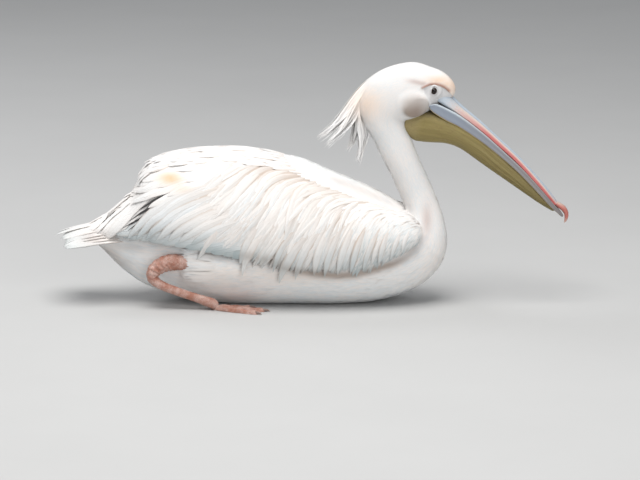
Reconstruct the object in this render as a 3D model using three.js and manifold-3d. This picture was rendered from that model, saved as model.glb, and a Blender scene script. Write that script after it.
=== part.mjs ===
// A great white pelican, life size, resting on its belly with its feet tucked under.
// Millimetres. +X runs forward to the bill, +Y to the bird's left, +Z up; the floor is z = 0.
import * as THREE from 'three';
import { mergeVertices } from 'three/addons/utils/BufferGeometryUtils.js';
import Module from 'manifold-3d';

const wasm = await Module();
wasm.setup();

// Driving dimensions.
const GAP = 0.5; // clearance between two pieces that touch
const BODY_SIDES = 20; // facets round a body section
const WING_SIDES = 20; // facets round a section of the two folded wings
const SMALLEST_STEP = 0.3; // detail finer than this is merged away
const EYE_RADIUS = 9.5;
const EYE_PLACE = [307.5, 23.5, 461];
const BACK_PARTING = 1.6; // half the slit between the two folded wings
const PAST_WING = 300; // deeper than a folded wing stands out from the mid plane
const TAIL_THICKNESS = 9;
const TAIL_LENGTH = 177;
const TAIL_ROOT = [-326, 0, 180];
const TAIL_FEATHERS = 10;
const TAIL_SPREAD = 17; // degrees from straight back to the outermost feather
const TAIL_SLOPE = -0.15;
const TAIL_DROOP = 20; // how far the tips curl down
const TAIL_ROWS = 5;
const TAIL_ROOT_HALF = 40;
const TAIL_ARCH = [40, 18]; // how far the sides of the fan hang, at its root and at its tips
const TAIL_ROUNDING = 0.09; // the outermost feathers are this much shorter
const TAIL_NOTCH = 0.965; // reach of the notches between the tips
const TAIL_THINNING = 0.25; // thickness at the tips as a share of that at the root
const WEB_THICKNESS = 4;
const FACETS = {
  eye: [12, 8], bill: 12, nail: 8, jaw: 8, pouch: 12, crest: 6, remiges: 8, thigh: 12, leg: 8, toe: 6,
};
const FACE_POWERS = [2.2, 3]; // superellipse exponents of the bill, ridge side and cutting side
const POUCH_POWERS = [2.4, 2]; // the same for the pouch
const BILL_WIDEST = 0.72; // how far down the bill is widest
const SIDES = [
  { side: 'right', y: -1 },
  { side: 'left', y: 1 },
];

// Sections of the body from vent to forehead. back and belly are points [x, z] of the mid plane,
// half is the half-width, wide says how far down the section is widest: 0 at the back, 1 at the belly.
const BODY = [
  { back: [-446, 150], belly: [-436, 138], half: 24, wide: 0.45 },
  { back: [-416, 172], belly: [-404, 116], half: 42, wide: 0.45 },
  { back: [-368, 202], belly: [-360, 70], half: 56, wide: 0.48 },
  { back: [-312, 232], belly: [-308, 34], half: 71, wide: 0.5 },
  { back: [-250, 262], belly: [-246, 14], half: 91, wide: 0.5 },
  { back: [-180, 294], belly: [-178, -1], half: 112, wide: 0.52 },
  { back: [-100, 318], belly: [-98, -5], half: 126, wide: 0.54 },
  { back: [0, 318.5], belly: [4, -5], half: 132, wide: 0.55 },
  { back: [92, 284], belly: [98, -5], half: 129, wide: 0.55 },
  { back: [162, 255], belly: [180, 1], half: 118, wide: 0.55 },
  { back: [208, 231], belly: [246, 18], half: 102, wide: 0.54 },
  { back: [233, 215], belly: [295, 45], half: 85, wide: 0.52 },
  { back: [243, 208], belly: [327, 82], half: 70, wide: 0.5 },
  { back: [244, 211], belly: [339, 127], half: 58, wide: 0.5 },
  { back: [239, 226], belly: [333, 172], half: 50, wide: 0.5 },
  { back: [229, 248], belly: [321, 212], half: 46, wide: 0.5 },
  { back: [214, 280], belly: [302, 258], half: 43, wide: 0.5 },
  { back: [195, 316], belly: [281, 304], half: 41, wide: 0.5 },
  { back: [176, 354], belly: [264, 346], half: 38, wide: 0.5 },
  { back: [156, 388], belly: [250, 374], half: 37, wide: 0.5 },
  { back: [142, 420], belly: [247, 390], half: 37, wide: 0.54 },
  { back: [143, 450], belly: [252, 394], half: 37, wide: 0.58 },
  { back: [163, 480], belly: [260, 395], half: 37, wide: 0.6 },
  { back: [196, 503], belly: [270, 397], half: 37, wide: 0.62 },
  { back: [234, 516], belly: [283, 403], half: 36, wide: 0.62 },
  { back: [268, 519], belly: [297, 413], half: 33, wide: 0.6 },
  { back: [299, 510], belly: [309, 423], half: 29, wide: 0.56 },
  { back: [324, 500], belly: [322, 430], half: 25, wide: 0.52 },
  { back: [343, 485], belly: [336, 436], half: 20, wide: 0.52 },
  { back: [353, 468], belly: [346, 440], half: 12, wide: 0.55 },
  { back: [354, 456], belly: [350, 445], half: 5, wide: 0.5 },
];
const BACK_POWER = 2; // superellipse exponent above the widest line
const BELLY_POWER = 2.35; // and below it, where the body is flatter
// Swellings of the head, pushed out sideways round a point [x, z].
const CHEEK = { at: [266, 436], reach: 34, push: 6 };
const BROW = { at: [322, 478], reach: 26, push: 4 };
const SWELL_START = 12; // the swellings fade out this close to the mid plane

// Planes [x, z] and angle (degrees from +X) that part the body into trunk, neck and head.
const NECK_CUT = { at: [262, 205], angle: -42 };
const HEAD_CUT = { at: [200, 392], angle: -6 };

// Sections of the two folded wings together: x, top, bottom, half-width and widest place.
const WINGS = [
  { x: -404, top: 176, bottom: 128, half: 50, wide: 0.5 },
  { x: -384, top: 196, bottom: 122, half: 60, wide: 0.5 },
  { x: -350, top: 232, bottom: 112, half: 73, wide: 0.52 },
  { x: -312, top: 292, bottom: 100, half: 90, wide: 0.55 },
  { x: -270, top: 318, bottom: 86, half: 106, wide: 0.58 },
  { x: -200, top: 331, bottom: 70, half: 128, wide: 0.6 },
  { x: -110, top: 335, bottom: 52, half: 145, wide: 0.62 },
  { x: -50, top: 329, bottom: 46, half: 150, wide: 0.62 },
  { x: 0, top: 318, bottom: 44, half: 151, wide: 0.62 },
  { x: 80, top: 290, bottom: 46, half: 148, wide: 0.61 },
  { x: 145, top: 263, bottom: 56, half: 140, wide: 0.6 },
  { x: 205, top: 235, bottom: 74, half: 127, wide: 0.58 },
  { x: 245, top: 216, bottom: 92, half: 115, wide: 0.56 },
  { x: 270, top: 196, bottom: 112, half: 102, wide: 0.55 },
  { x: 282, top: 180, bottom: 134, half: 86, wide: 0.55 },
];
// Side outline of a folded wing [x, z]: round the wrist, along the hanging tips of the coverts and
// tertials, and up the stepped tips at the back. Each tip is followed by the notch before the next.
const WING_FRONT = [
  [-66, 380], [-64, 321], [-20, 306], [22, 290], [108, 255], [194, 221], [240, 203], [262, 196],
  [279, 188], [284, 168], [274, 144], [256, 128],
];
const COVERT_TIPS = [
  [212, 110], [184, 99], [156, 91], [128, 87], [100, 83], [72, 82],
  [44, 86], [14, 80], [-22, 66], [-50, 88], [-78, 84], [-108, 90], [-120, 122],
];
const TIP_NOTCH = [21, 22]; // how far the notch lies forward of and above a tip
const TERTIAL_TIPS = [
  [-142, 132], [-186, 140], [-222, 142], [-258, 151], [-300, 154], [-340, 154], [-384, 150],
];
const TERTIAL_NOTCH = [20, 9]; // the same between two tertial tips
const WING_BACK = [
  [-352, 196], [-330, 222], [-336, 247], [-318, 262], [-324, 277], [-306, 290],
  [-316, 298], [-270, 318], [-232, 340], [-200, 380],
];
const TERTIAL_CUT = { at: [-150, 240], angle: 58 }; // parts a wing into its coverts and tertials

// The dark flight feathers that lie under the tertials: x, y, z, half-height, half-thickness.
const REMIGES = [
  [-150, 112, 190, 10, 4], [-210, 103, 184, 24, 5], [-280, 83, 172, 26, 5],
  [-340, 62, 156, 20, 4], [-398, 40, 148, 12, 3], [-426, 28, 146, 4, 2],
];

// The upper half of the bill: points [x, z] of its ridge, its depth there and its half-width.
const BILL = [
  { ridge: [330, 462], depth: 30, half: 19 },
  { ridge: [350, 443], depth: 24, half: 19 },
  { ridge: [368, 425], depth: 19, half: 18 },
  { ridge: [409, 390], depth: 16, half: 16 },
  { ridge: [452, 350], depth: 14, half: 15 },
  { ridge: [495, 309], depth: 13, half: 15 },
  { ridge: [538, 261], depth: 12, half: 16.5 },
  { ridge: [559, 235], depth: 11, half: 16 },
  { ridge: [574, 215], depth: 10, half: 12 },
];
const NAIL = [ // the hooked tip: x, z, half-width, half-depth
  [571, 212, 10, 5], [580, 206, 9, 6], [588, 200, 8, 6],
  [593, 191, 6.5, 5], [593.5, 181, 4.5, 4], [590, 171, 1.5, 1.5],
];
// One branch of the lower jaw: x, y, z, height and thickness.
const JAW = [
  [303, 24, 425, 13, 6], [313, 24, 421, 21, 8], [341, 23, 405.5, 25, 8], [367, 21, 390.5, 22, 8],
  [410, 18, 359, 18, 7], [453, 15.5, 322.5, 14, 7], [496, 14.5, 282.5, 12.5, 6.5],
  [539, 14, 236.5, 11.5, 6.5],
  [560, 11.5, 212, 10, 6.5], [574, 7, 197, 8, 6], [583, 3.6, 187, 6, 5],
];
// The throat pouch: its upper and lower points [x, z] and half-width.
const POUCH = [
  { back: [250, 398], belly: [244, 372], half: 12, wide: 0.5 },
  { back: [276, 412], belly: [264, 352], half: 24, wide: 0.45 },
  { back: [300, 414], belly: [282, 347], half: 27, wide: 0.4 },
  { back: [326, 404], belly: [308, 345], half: 27, wide: 0.38 },
  { back: [352, 388], belly: [334, 343.5], half: 26, wide: 0.38 },
  { back: [384, 366], belly: [364, 333], half: 23, wide: 0.38 },
  { back: [418, 340], belly: [398, 309], half: 20, wide: 0.38 },
  { back: [456, 306], belly: [438, 280], half: 17, wide: 0.38 },
  { back: [497, 265], belly: [484, 248], half: 15, wide: 0.38 },
  { back: [538, 222], belly: [530, 216], half: 12, wide: 0.4 },
  { back: [562, 200], belly: [557, 199], half: 7, wide: 0.4 },
];
// The crest: each lock is a bent taper through points [x, y, z], with its root radius.
const CREST = [
  { radius: 9, path: [[160, 0, 466], [140, 0, 432], [138, -2, 392], [143, -4, 304]] },
  { radius: 7, path: [[156, 4, 460], [134, 6, 424], [128, 8, 384], [121, 8, 328]] },
  { radius: 7, path: [[156, -5, 458], [130, -7, 420], [112, -9, 386], [84, -10, 344]] },
  { radius: 6, path: [[152, 2, 452], [122, 3, 412], [96, 5, 378], [62, 6, 356]] },
];
const CREST_TIP = 1; // radius at the end of a lock

// The feathered thigh and the bare leg: x, y, z, half-width, half-height.
const THIGH = [
  [-40, 86, 96, 8, 8], [-80, 96, 92, 32, 38], [-140, 101, 88, 32, 40],
  [-190, 99, 88, 27, 35], [-226, 95, 90, 20, 28],
];
const LEG = [
  [-214, 94, 101, 13, 15], [-246, 95, 102, 15, 17.5], [-268, 96, 98, 15, 17], [-288, 98, 85, 14, 15],
  [-292, 99, 68, 11, 12], [-274, 100, 53, 8, 9.5], [-236, 101, 38, 7.5, 9], [-200, 102, 26, 7.5, 9],
  [-168, 103, 15, 11, 11],
];
// Toes from the ankle ball, by length, turn out from straight ahead (degrees) and root radius.
const ANKLE = [-168, 103];
const ANKLE_RADIUS = 8;
const TOES = [
  { length: 110, turn: 27, radius: 7 },
  { length: 116, turn: 10, radius: 7 },
  { length: 86, turn: -8, radius: 6.5 },
  { length: 46, turn: -42, radius: 5 },
];
const WEB_SAG = 0.86; // how far the web reaches between two toe tips, as a share of their mean length
const TOE_TAPER = 0.4; // a toe is this much thinner at its tip
const TOE_SINK = 0.8; // height of a toe's axis as a share of its radius
const CLAW = { length: 12, radius: 1.2 };

const MERGE_DISTANCE = 1e-4;
const NEARBY = 0.05; // step along a path, in stations, for finding its direction

const PLUMAGE = { color: 0xf2ebe6, roughness: 0.85 };
const BARE = { color: 0xd98a78, roughness: 0.6 };
const HORN = { color: 0x9fb0c4, roughness: 0.35 };
const NAIL_RED = { color: 0xc0402f, roughness: 0.35 };
const SKIN = { color: 0xa08a4a, roughness: 0.55 };
const EYE = { color: 0x2a1410, roughness: 0.08 };
const REMEX = { color: 0x2c2928, roughness: 0.7 };

// ---- helpers ----

// Smooth interpolation through a row of numbers or number lists; s counts stations.
function along(values, s) {
  const i = Math.min(Math.floor(s), values.length - 2);
  const t = s - i;
  const [a, b, c, d] = [-1, 0, 1, 2].map((k) => values[THREE.MathUtils.clamp(i + k, 0, values.length - 1)]);
  const mix = (p, q, r, v) =>
    q + 0.5 * t * (r - p + t * (2 * p - 5 * q + 4 * r - v + t * (3 * (q - r) + v - p)));
  return Array.isArray(b) ? b.map((_, k) => mix(a[k], b[k], c[k], d[k])) : mix(a, b, c, d);
}

function steps(stations, perSpan) {
  const count = (stations.length - 1) * perSpan;
  return Array.from({ length: count + 1 }, (_, i) => i / perSpan);
}

// A manifold-3d solid from a closed three.js geometry, turned to face out.
function solid(geometry) {
  geometry.deleteAttribute('normal');
  geometry.deleteAttribute('uv');
  const merged = mergeVertices(geometry, MERGE_DISTANCE);
  const index = Array.from(merged.index.array);
  const kept = [];
  for (let i = 0; i < index.length; i += 3) {
    const [a, b, c] = index.slice(i, i + 3);
    if (a !== b && b !== c && c !== a) kept.push([a, b, c]);
  }
  const make = (faces) => new wasm.Manifold(new wasm.Mesh({
    numProp: 3,
    vertProperties: merged.attributes.position.array,
    triVerts: new Uint32Array(faces.flat()),
  }));
  const made = make(kept);
  return made.volume() < 0 ? make(kept.map(([a, b, c]) => [a, c, b])) : made;
}

// The largest connected body of a solid, as a three.js geometry.
function geometryOf(made) {
  const bodies = made.decompose().sort((a, b) => b.volume() - a.volume());
  const mesh = bodies[0].simplify(SMALLEST_STEP).getMesh();
  const position = new Float32Array(mesh.numVert * 3);
  for (let i = 0; i < mesh.numVert; i++) {
    position.set(mesh.vertProperties.subarray(i * mesh.numProp, i * mesh.numProp + 3), i * 3);
  }
  const geometry = new THREE.BufferGeometry();
  geometry.setAttribute('position', new THREE.BufferAttribute(position, 3));
  geometry.setIndex(new THREE.BufferAttribute(mesh.triVerts, 1));
  geometry.computeVertexNormals();
  return geometry;
}

// A closed solid through rings of equal count, its ends closed by fans to their centres.
function loft(rings) {
  const count = rings[0].length;
  const centre = (ring) => ring.reduce((sum, p) => sum.add(p), new THREE.Vector3()).divideScalar(count);
  const points = [...rings.flat(), centre(rings[0]), centre(rings.at(-1))];
  const faces = [];
  for (let i = 0; i < rings.length - 1; i++) {
    for (let j = 0; j < count; j++) {
      const a = i * count + j;
      const b = i * count + ((j + 1) % count);
      faces.push(a, b, b + count, a, b + count, a + count);
    }
  }
  const last = (rings.length - 1) * count;
  for (let j = 0; j < count; j++) {
    const k = (j + 1) % count;
    faces.push(points.length - 2, k, j, points.length - 1, last + j, last + k);
  }
  const geometry = new THREE.BufferGeometry().setFromPoints(points);
  geometry.setIndex(faces);
  return solid(geometry);
}

// One section between a back and a belly point: superellipses above and below the widest line.
function section({ back, belly, half, wide }, sides, grow = 0, powers = [BACK_POWER, BELLY_POWER]) {
  const from = new THREE.Vector3(back[0], 0, back[1]);
  const to = new THREE.Vector3(belly[0], 0, belly[1]);
  const down = to.clone().sub(from).normalize();
  from.addScaledVector(down, -grow);
  to.addScaledVector(down, grow);
  return Array.from({ length: sides }, (_, i) => {
    const angle = (2 * Math.PI * i) / sides;
    const [c, s] = [Math.cos(angle), Math.sin(angle)];
    const power = 2 / (c > 0 ? powers[0] : powers[1]);
    const rise = Math.sign(c) * Math.abs(c) ** power;
    const reach = Math.sign(s) * Math.abs(s) ** power;
    const share = c > 0 ? wide * (1 - rise) : wide - (1 - wide) * rise;
    const point = from.clone().lerp(to, share);
    point.y = (half + grow) * reach;
    return point;
  });
}

// A row of sections given as records, sampled smoothly.
function sectionLoft(stations, perSpan, sides, grow = 0, powers = undefined) {
  const column = (key) => stations.map((station) => station[key]);
  return loft(steps(stations, perSpan).map((s) => section({
    back: along(column('back'), s),
    belly: along(column('belly'), s),
    half: along(column('half'), s),
    wide: along(column('wide'), s),
  }, sides, grow, powers)));
}

// A limb through points with a half-width and half-height at each, square to its path.
function limb(rows, perSpan, sides, grow = 0) {
  const at = (s) => new THREE.Vector3(...along(rows.map((row) => row.slice(0, 3)), s));
  return loft(steps(rows, perSpan).map((s) => {
    const end = rows.length - 1;
    const ahead = at(Math.min(s + NEARBY, end)).sub(at(Math.max(s - NEARBY, 0))).normalize();
    const side = new THREE.Vector3(0, 1, 0).addScaledVector(ahead, -ahead.y).normalize();
    const up = new THREE.Vector3().crossVectors(ahead, side);
    const [width, height] = along(rows.map((row) => row.slice(3)), s);
    return Array.from({ length: sides }, (_, i) => {
      const angle = (2 * Math.PI * i) / sides;
      return at(s).addScaledVector(side, (width + grow) * Math.sin(angle))
        .addScaledVector(up, (height + grow) * Math.cos(angle));
    });
  }));
}

// The same limb on one side of the bird.
const onSide = (rows, y) => rows.map(([x, offset, z, ...rest]) => [x, offset * y, z, ...rest]);

// Keeps what lies on the side of a plane that its normal points to. The plane holds the Y direction.
function trim(made, { at, angle }, keep, gap = GAP / 2) {
  const turn = THREE.MathUtils.degToRad(angle);
  const normal = [-Math.sin(turn) * keep, 0, Math.cos(turn) * keep];
  return made.trimByPlane(normal, normal[0] * at[0] + normal[2] * at[1] + gap);
}

const aboveFloor = (made) => made.trimByPlane([0, 0, 1], 0);

// A prism with a side outline [x, z], from the mid plane out past the wing on one side.
function sidePrism(outline, y) {
  const shape = new THREE.Shape(outline.map(([x, z]) => new THREE.Vector2(x, z)));
  const geometry = new THREE.ExtrudeGeometry(shape, { depth: PAST_WING, bevelEnabled: false });
  geometry.rotateX(Math.PI / 2); // the outline's second axis becomes +Z and the depth runs to -Y
  geometry.translate(0, -BACK_PARTING, 0);
  if (y > 0) geometry.scale(1, -1, 1);
  return solid(geometry);
}

// ---- the body ----

function swollen(made) {
  return made.warp((v) => {
    for (const { at, reach, push } of [CHEEK, BROW]) {
      const away = Math.hypot(v[0] - at[0], v[2] - at[1]) / reach;
      const middle = Math.min(1, Math.abs(v[1]) / SWELL_START);
      if (away < 1) v[1] += Math.sign(v[1]) * push * (1 - away * away) ** 2 * middle;
    }
  });
}

const flesh = (grow) => aboveFloor(swollen(sectionLoft(BODY, 2, BODY_SIDES, grow)));
const body = flesh(0);
const bodyRoom = flesh(GAP);

function eyeball(y, grow = 0) {
  const geometry = new THREE.SphereGeometry(EYE_RADIUS + grow, ...FACETS.eye);
  geometry.translate(EYE_PLACE[0], EYE_PLACE[1] * y, EYE_PLACE[2]);
  return solid(geometry);
}

// ---- wings ----

const notched = (tips, [ahead, up]) => tips.flatMap(([x, z]) => [[x + ahead, z + up], [x, z]]);
const WING_OUTLINE = [
  ...WING_FRONT, ...notched(COVERT_TIPS, TIP_NOTCH), ...notched(TERTIAL_TIPS, TERTIAL_NOTCH), ...WING_BACK,
];
const wingStations = WINGS.map(({ x, top, bottom, half, wide }) => ({
  back: [x, top], belly: [x, bottom], half, wide,
}));
const wingPair = sectionLoft(wingStations, 1, WING_SIDES);

const remiges = (y, grow) => limb(onSide(REMIGES, y).map(([x, yy, z, height, thick]) =>
  [x, yy, z, thick, height]), 1, FACETS.remiges, grow);
const thigh = (y, grow) => limb(onSide(THIGH, y), 2, FACETS.thigh, grow);
const leg = (y, grow) => limb(onSide(LEG, y), 1, FACETS.leg, grow);

function wing(y) {
  return wingPair.intersect(sidePrism(WING_OUTLINE, y))
    .subtract(bodyRoom).subtract(remiges(y, GAP)).subtract(thigh(y, GAP));
}

// ---- tail ----

// A fan of overlapping feathers as one slab, arched across and drooping behind, with a stepped end.
function tailLayer(lift) {
  const across = TAIL_FEATHERS * 2;
  return Array.from({ length: TAIL_ROWS + 1 }, (_, i) => Array.from({ length: across + 1 }, (__, j) => {
    const side = (2 * j) / across - 1;
    const share = i / TAIL_ROWS;
    const reach = share * TAIL_LENGTH * (j % 2 ? 1 : TAIL_NOTCH) * (1 - TAIL_ROUNDING * side * side);
    const turn = side * THREE.MathUtils.degToRad(TAIL_SPREAD);
    const hang = side * side * THREE.MathUtils.lerp(...TAIL_ARCH, share) + TAIL_DROOP * share ** 4;
    return new THREE.Vector3(
      TAIL_ROOT[0] - reach * Math.cos(turn),
      side * TAIL_ROOT_HALF + reach * Math.sin(turn),
      TAIL_ROOT[2] + TAIL_SLOPE * reach - hang + lift * THREE.MathUtils.lerp(1, TAIL_THINNING, share),
    );
  }));
}

function tailFan(grow = 0) {
  const top = tailLayer(TAIL_THICKNESS / 2 + grow);
  const bottom = tailLayer(-TAIL_THICKNESS / 2 - grow).map((row) => row.reverse());
  return loft(top.map((row, i) => [...row, ...bottom[i]]));
}

// ---- bill ----

const billStations = () => {
  const ridges = BILL.map((station) => station.ridge);
  return BILL.map(({ ridge, depth, half }, i) => {
    const before = ridges[Math.max(i - 1, 0)];
    const after = ridges[Math.min(i + 1, ridges.length - 1)];
    const length = Math.hypot(after[0] - before[0], after[1] - before[1]);
    const down = [(after[1] - before[1]) / length, -(after[0] - before[0]) / length];
    return {
      back: ridge,
      belly: [ridge[0] + down[0] * depth, ridge[1] + down[1] * depth],
      half,
      wide: BILL_WIDEST,
    };
  });
};
const upperBill = (grow) => sectionLoft(billStations(), 1, FACETS.bill, grow, FACE_POWERS);
const nailRows = NAIL.map(([x, z, width, depth]) => [x, 0, z, width, depth]);
const nail = (grow) => limb(nailRows, 1, FACETS.nail, grow);
const jaw = (y, grow) => limb(onSide(JAW, y).map(([x, yy, z, height, thick]) =>
  [x, yy, z, thick / 2, height / 2]), 1, FACETS.jaw, grow);
const pouch = () => sectionLoft(POUCH, 2, FACETS.pouch, 0, POUCH_POWERS);

// ---- crest, legs and feet ----

function crest() {
  const locks = CREST.map(({ radius, path }) => limb(path.map((point, i) => {
    const thick = THREE.MathUtils.lerp(radius, CREST_TIP, i / (path.length - 1));
    return [...point, thick, thick];
  }), 2, FACETS.crest));
  return wasm.Manifold.union(locks);
}

function foot(y) {
  const [x, offset] = ANKLE;
  const tip = ({ length, turn }, share = 1) => {
    const angle = THREE.MathUtils.degToRad(turn);
    return [x + length * share * Math.cos(angle), (offset + length * share * Math.sin(angle)) * y];
  };
  const outline = [[x - ANKLE_RADIUS, offset * y]];
  TOES.forEach((toe, i) => {
    outline.push(tip(toe));
    const next = TOES[i + 1];
    if (next) {
      const between = { length: (toe.length + next.length) / 2, turn: (toe.turn + next.turn) / 2 };
      outline.push(tip(between, WEB_SAG));
    }
  });
  const web = new THREE.ExtrudeGeometry(
    new THREE.Shape(outline.map((point) => new THREE.Vector2(...point))),
    { depth: WEB_THICKNESS, bevelEnabled: false },
  );
  const pieces = [solid(web)];
  for (const toe of TOES) {
    const rows = [0, 0.5, 1].map((share) => {
      const [px, py] = tip(toe, share);
      const radius = toe.radius * (1 - TOE_TAPER * share);
      return [px, py, radius * TOE_SINK, radius, radius];
    });
    const claw = tip(toe, 1 + CLAW.length / toe.length);
    pieces.push(limb([...rows, [...claw, CLAW.radius, CLAW.radius, CLAW.radius]], 1, FACETS.toe));
  }
  return aboveFloor(wasm.Manifold.union(pieces)).subtract(leg(y, GAP));
}

// ---- assembly ----

const pelican = new THREE.Group();
pelican.name = 'pelican';

function add(name, made, look) {
  const material = new THREE.MeshStandardMaterial({ metalness: 0, ...look });
  const mesh = new THREE.Mesh(geometryOf(made), material);
  mesh.name = name;
  pelican.add(mesh);
}

const wings = SIDES.map(({ y }) => wing(y));
const eyeRoom = wasm.Manifold.union(SIDES.map(({ y }) => eyeball(y, GAP)));
const jawRoom = wasm.Manifold.union(SIDES.map(({ y }) => jaw(y, GAP)));

add('trunk', trim(body, NECK_CUT, -1), PLUMAGE);
add('neck', trim(trim(body, NECK_CUT, 1), HEAD_CUT, -1), PLUMAGE);
add('head', trim(body, HEAD_CUT, 1).subtract(eyeRoom), PLUMAGE);
add('crest', crest().subtract(bodyRoom), PLUMAGE);
add('bill_upper', upperBill(0).subtract(bodyRoom).subtract(nail(GAP)), HORN);
add('bill_nail', nail(0), NAIL_RED);
add('pouch', pouch().subtract(bodyRoom).subtract(upperBill(GAP).add(nail(GAP))).subtract(jawRoom), SKIN);
add('tail', tailFan().subtract(bodyRoom).subtract(wings[0]).subtract(wings[1]), PLUMAGE);
SIDES.forEach(({ side, y }, i) => {
  add(`eye_${side}`, eyeball(y), EYE);
  add(`jaw_${side}`, jaw(y, 0).subtract(bodyRoom).subtract(upperBill(GAP)).subtract(nail(GAP)), HORN);
  add(`wing_${side}_coverts`, trim(wings[i], TERTIAL_CUT, -1), PLUMAGE);
  add(`wing_${side}_tertials`, trim(wings[i], TERTIAL_CUT, 1), PLUMAGE);
  add(`wing_${side}_remiges`, remiges(y, 0).subtract(bodyRoom).subtract(tailFan(GAP)), REMEX);
  add(`thigh_${side}`, thigh(y, 0).subtract(bodyRoom).subtract(leg(y, GAP)), PLUMAGE);
  add(`leg_${side}`, aboveFloor(leg(y, 0)).subtract(bodyRoom), BARE);
  add(`foot_${side}`, foot(y).subtract(bodyRoom), BARE);
});

export default pelican;
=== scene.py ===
# A great white pelican at rest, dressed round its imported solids. Metres, +X to the bill, +Z up.
import math
import bpy
import numpy as np
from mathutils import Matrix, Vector


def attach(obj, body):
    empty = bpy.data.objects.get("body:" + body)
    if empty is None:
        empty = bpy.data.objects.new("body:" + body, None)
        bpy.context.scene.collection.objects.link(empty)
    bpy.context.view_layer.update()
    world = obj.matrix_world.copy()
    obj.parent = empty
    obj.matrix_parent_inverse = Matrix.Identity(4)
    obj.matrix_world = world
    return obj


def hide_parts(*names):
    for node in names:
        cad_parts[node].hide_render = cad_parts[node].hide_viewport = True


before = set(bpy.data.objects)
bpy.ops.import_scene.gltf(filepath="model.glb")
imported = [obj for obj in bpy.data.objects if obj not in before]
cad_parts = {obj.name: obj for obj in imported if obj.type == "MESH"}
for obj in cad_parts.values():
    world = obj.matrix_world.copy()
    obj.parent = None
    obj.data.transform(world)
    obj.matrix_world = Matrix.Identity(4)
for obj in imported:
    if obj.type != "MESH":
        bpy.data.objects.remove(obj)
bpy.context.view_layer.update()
mm = 0.001
sides = {"right": -1, "left": 1}
fullTurn = 2 * math.pi
print("frame loaded:", len(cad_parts), "solids")


# Catmull-Rom curve through the rows of a table; s counts rows, so 1.5 lies half way from row 1 to row 2.
def spline(table, s):
    table = np.asarray(table, float)
    s = np.clip(np.asarray(s, float), 0, len(table) - 1)
    i = np.minimum(s.astype(int), len(table) - 2)
    t = (s - i)[..., None]
    a, b, c, d = (table[np.clip(i + k, 0, len(table) - 1)] for k in (-1, 0, 1, 2))
    return b + 0.5 * t * (c - a + t * (2 * a - 5 * b + 4 * c - d + t * (3 * (b - c) + d - a)))


def unit(v):
    return v / np.maximum(np.linalg.norm(v, axis=-1, keepdims=True), 1e-12)


def smooth(low, high, x):  # 0 below low, 1 above high, an S between them
    t = np.clip((x - low) / (high - low), 0, 1)
    return t * t * (3 - 2 * t)


def bell(x):  # 1 at zero, falling as the exponential of minus the square
    return np.exp(-x ** 2)


def turns(count):  # even angles round a full turn
    return np.arange(count) / count * fullTurn


# A section lies between a back and a belly point. With c = cos(a), s = sin(a) and the power p of its half,
# its height runs as sign(c)|c|^(2/p) and its half-width as sign(s)|s|^(2/p). a = 0 is the back, a = pi the
# belly, positive sin(a) the bird's left. Rows: back x z, belly x z, half-width, widest place, in millimetres.
def sectionPoint(table, s, a, powers, depth=0.0):
    s, a, depth = np.broadcast_arrays(*(np.asarray(v, float) for v in (s, a, depth)))
    row = spline(table, s)
    back, belly, half, wide = row[..., 0:2], row[..., 2:4], row[..., 4], row[..., 5]
    down = unit(belly - back)
    back = back + down * depth[..., None]
    belly = belly - down * depth[..., None]
    c, sine = np.cos(a), np.sin(a)
    power = 2 / np.where(c > 0, powers[0], powers[1])
    rise = np.sign(c) * np.abs(c) ** power
    reach = np.sign(sine) * np.abs(sine) ** power
    share = np.where(c > 0, wide * (1 - rise), wide - (1 - wide) * rise)
    side = back + (belly - back) * share[..., None]
    return np.stack([side[..., 0], (half - depth) * reach, side[..., 1]], -1)


def gridQuads(rows, cols, wrap):
    i = np.arange(rows - 1)[:, None]
    j = np.arange(cols if wrap else cols - 1)[None, :]
    a = i * cols + j
    b = i * cols + (j + 1) % cols
    return np.stack([a, b, b + cols, a + cols], -1).reshape(-1, 4)


def fill(data, field, values, kind=np.float32):
    data.foreach_set(field, np.ascontiguousarray(values, kind).reshape(-1))


# Puts points and polygons into a mesh. polygons is a list of index arrays, one for each number of corners.
# uvs holds one pair per corner of each array in turn, marks one value per point, and flat says which
# polygons are shaded flat. cornerNormals, one per corner, take the place of the mesh's own.
def putMesh(name, points, polygons, material, uvs, marks, flat=None, cornerNormals=None):
    mesh = bpy.data.meshes.new(name)
    corners = np.concatenate([p.reshape(-1) for p in polygons])
    sizes = np.concatenate([np.full(len(p), p.shape[1]) for p in polygons])
    mesh.vertices.add(len(points))
    fill(mesh.vertices, "co", points)
    mesh.loops.add(len(corners))
    fill(mesh.loops, "vertex_index", corners, np.int32)
    mesh.polygons.add(len(sizes))
    fill(mesh.polygons, "loop_start", np.concatenate([[0], np.cumsum(sizes)[:-1]]), np.int32)
    fill(mesh.polygons, "use_smooth", np.ones(len(sizes), bool) if flat is None else ~flat, bool)
    mesh.update(calc_edges=True)
    for key, pairs in uvs.items():
        fill(mesh.uv_layers.new(name=key).uv, "vector", pairs)
    for key, values in marks.items():
        kind, field = ("FLOAT", "value") if values.ndim == 1 else ("FLOAT_COLOR", "color")
        fill(mesh.attributes.new(key, kind, "POINT").data, field, values)
    if cornerNormals is not None:
        fill(mesh.attributes.new("custom_normal", "FLOAT_VECTOR", "CORNER").data, "vector", cornerNormals)
    mesh.materials.append(material)
    piece = bpy.data.objects.new(name, mesh)
    bpy.context.scene.collection.objects.link(piece)
    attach(piece, "root")
    return piece


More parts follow.
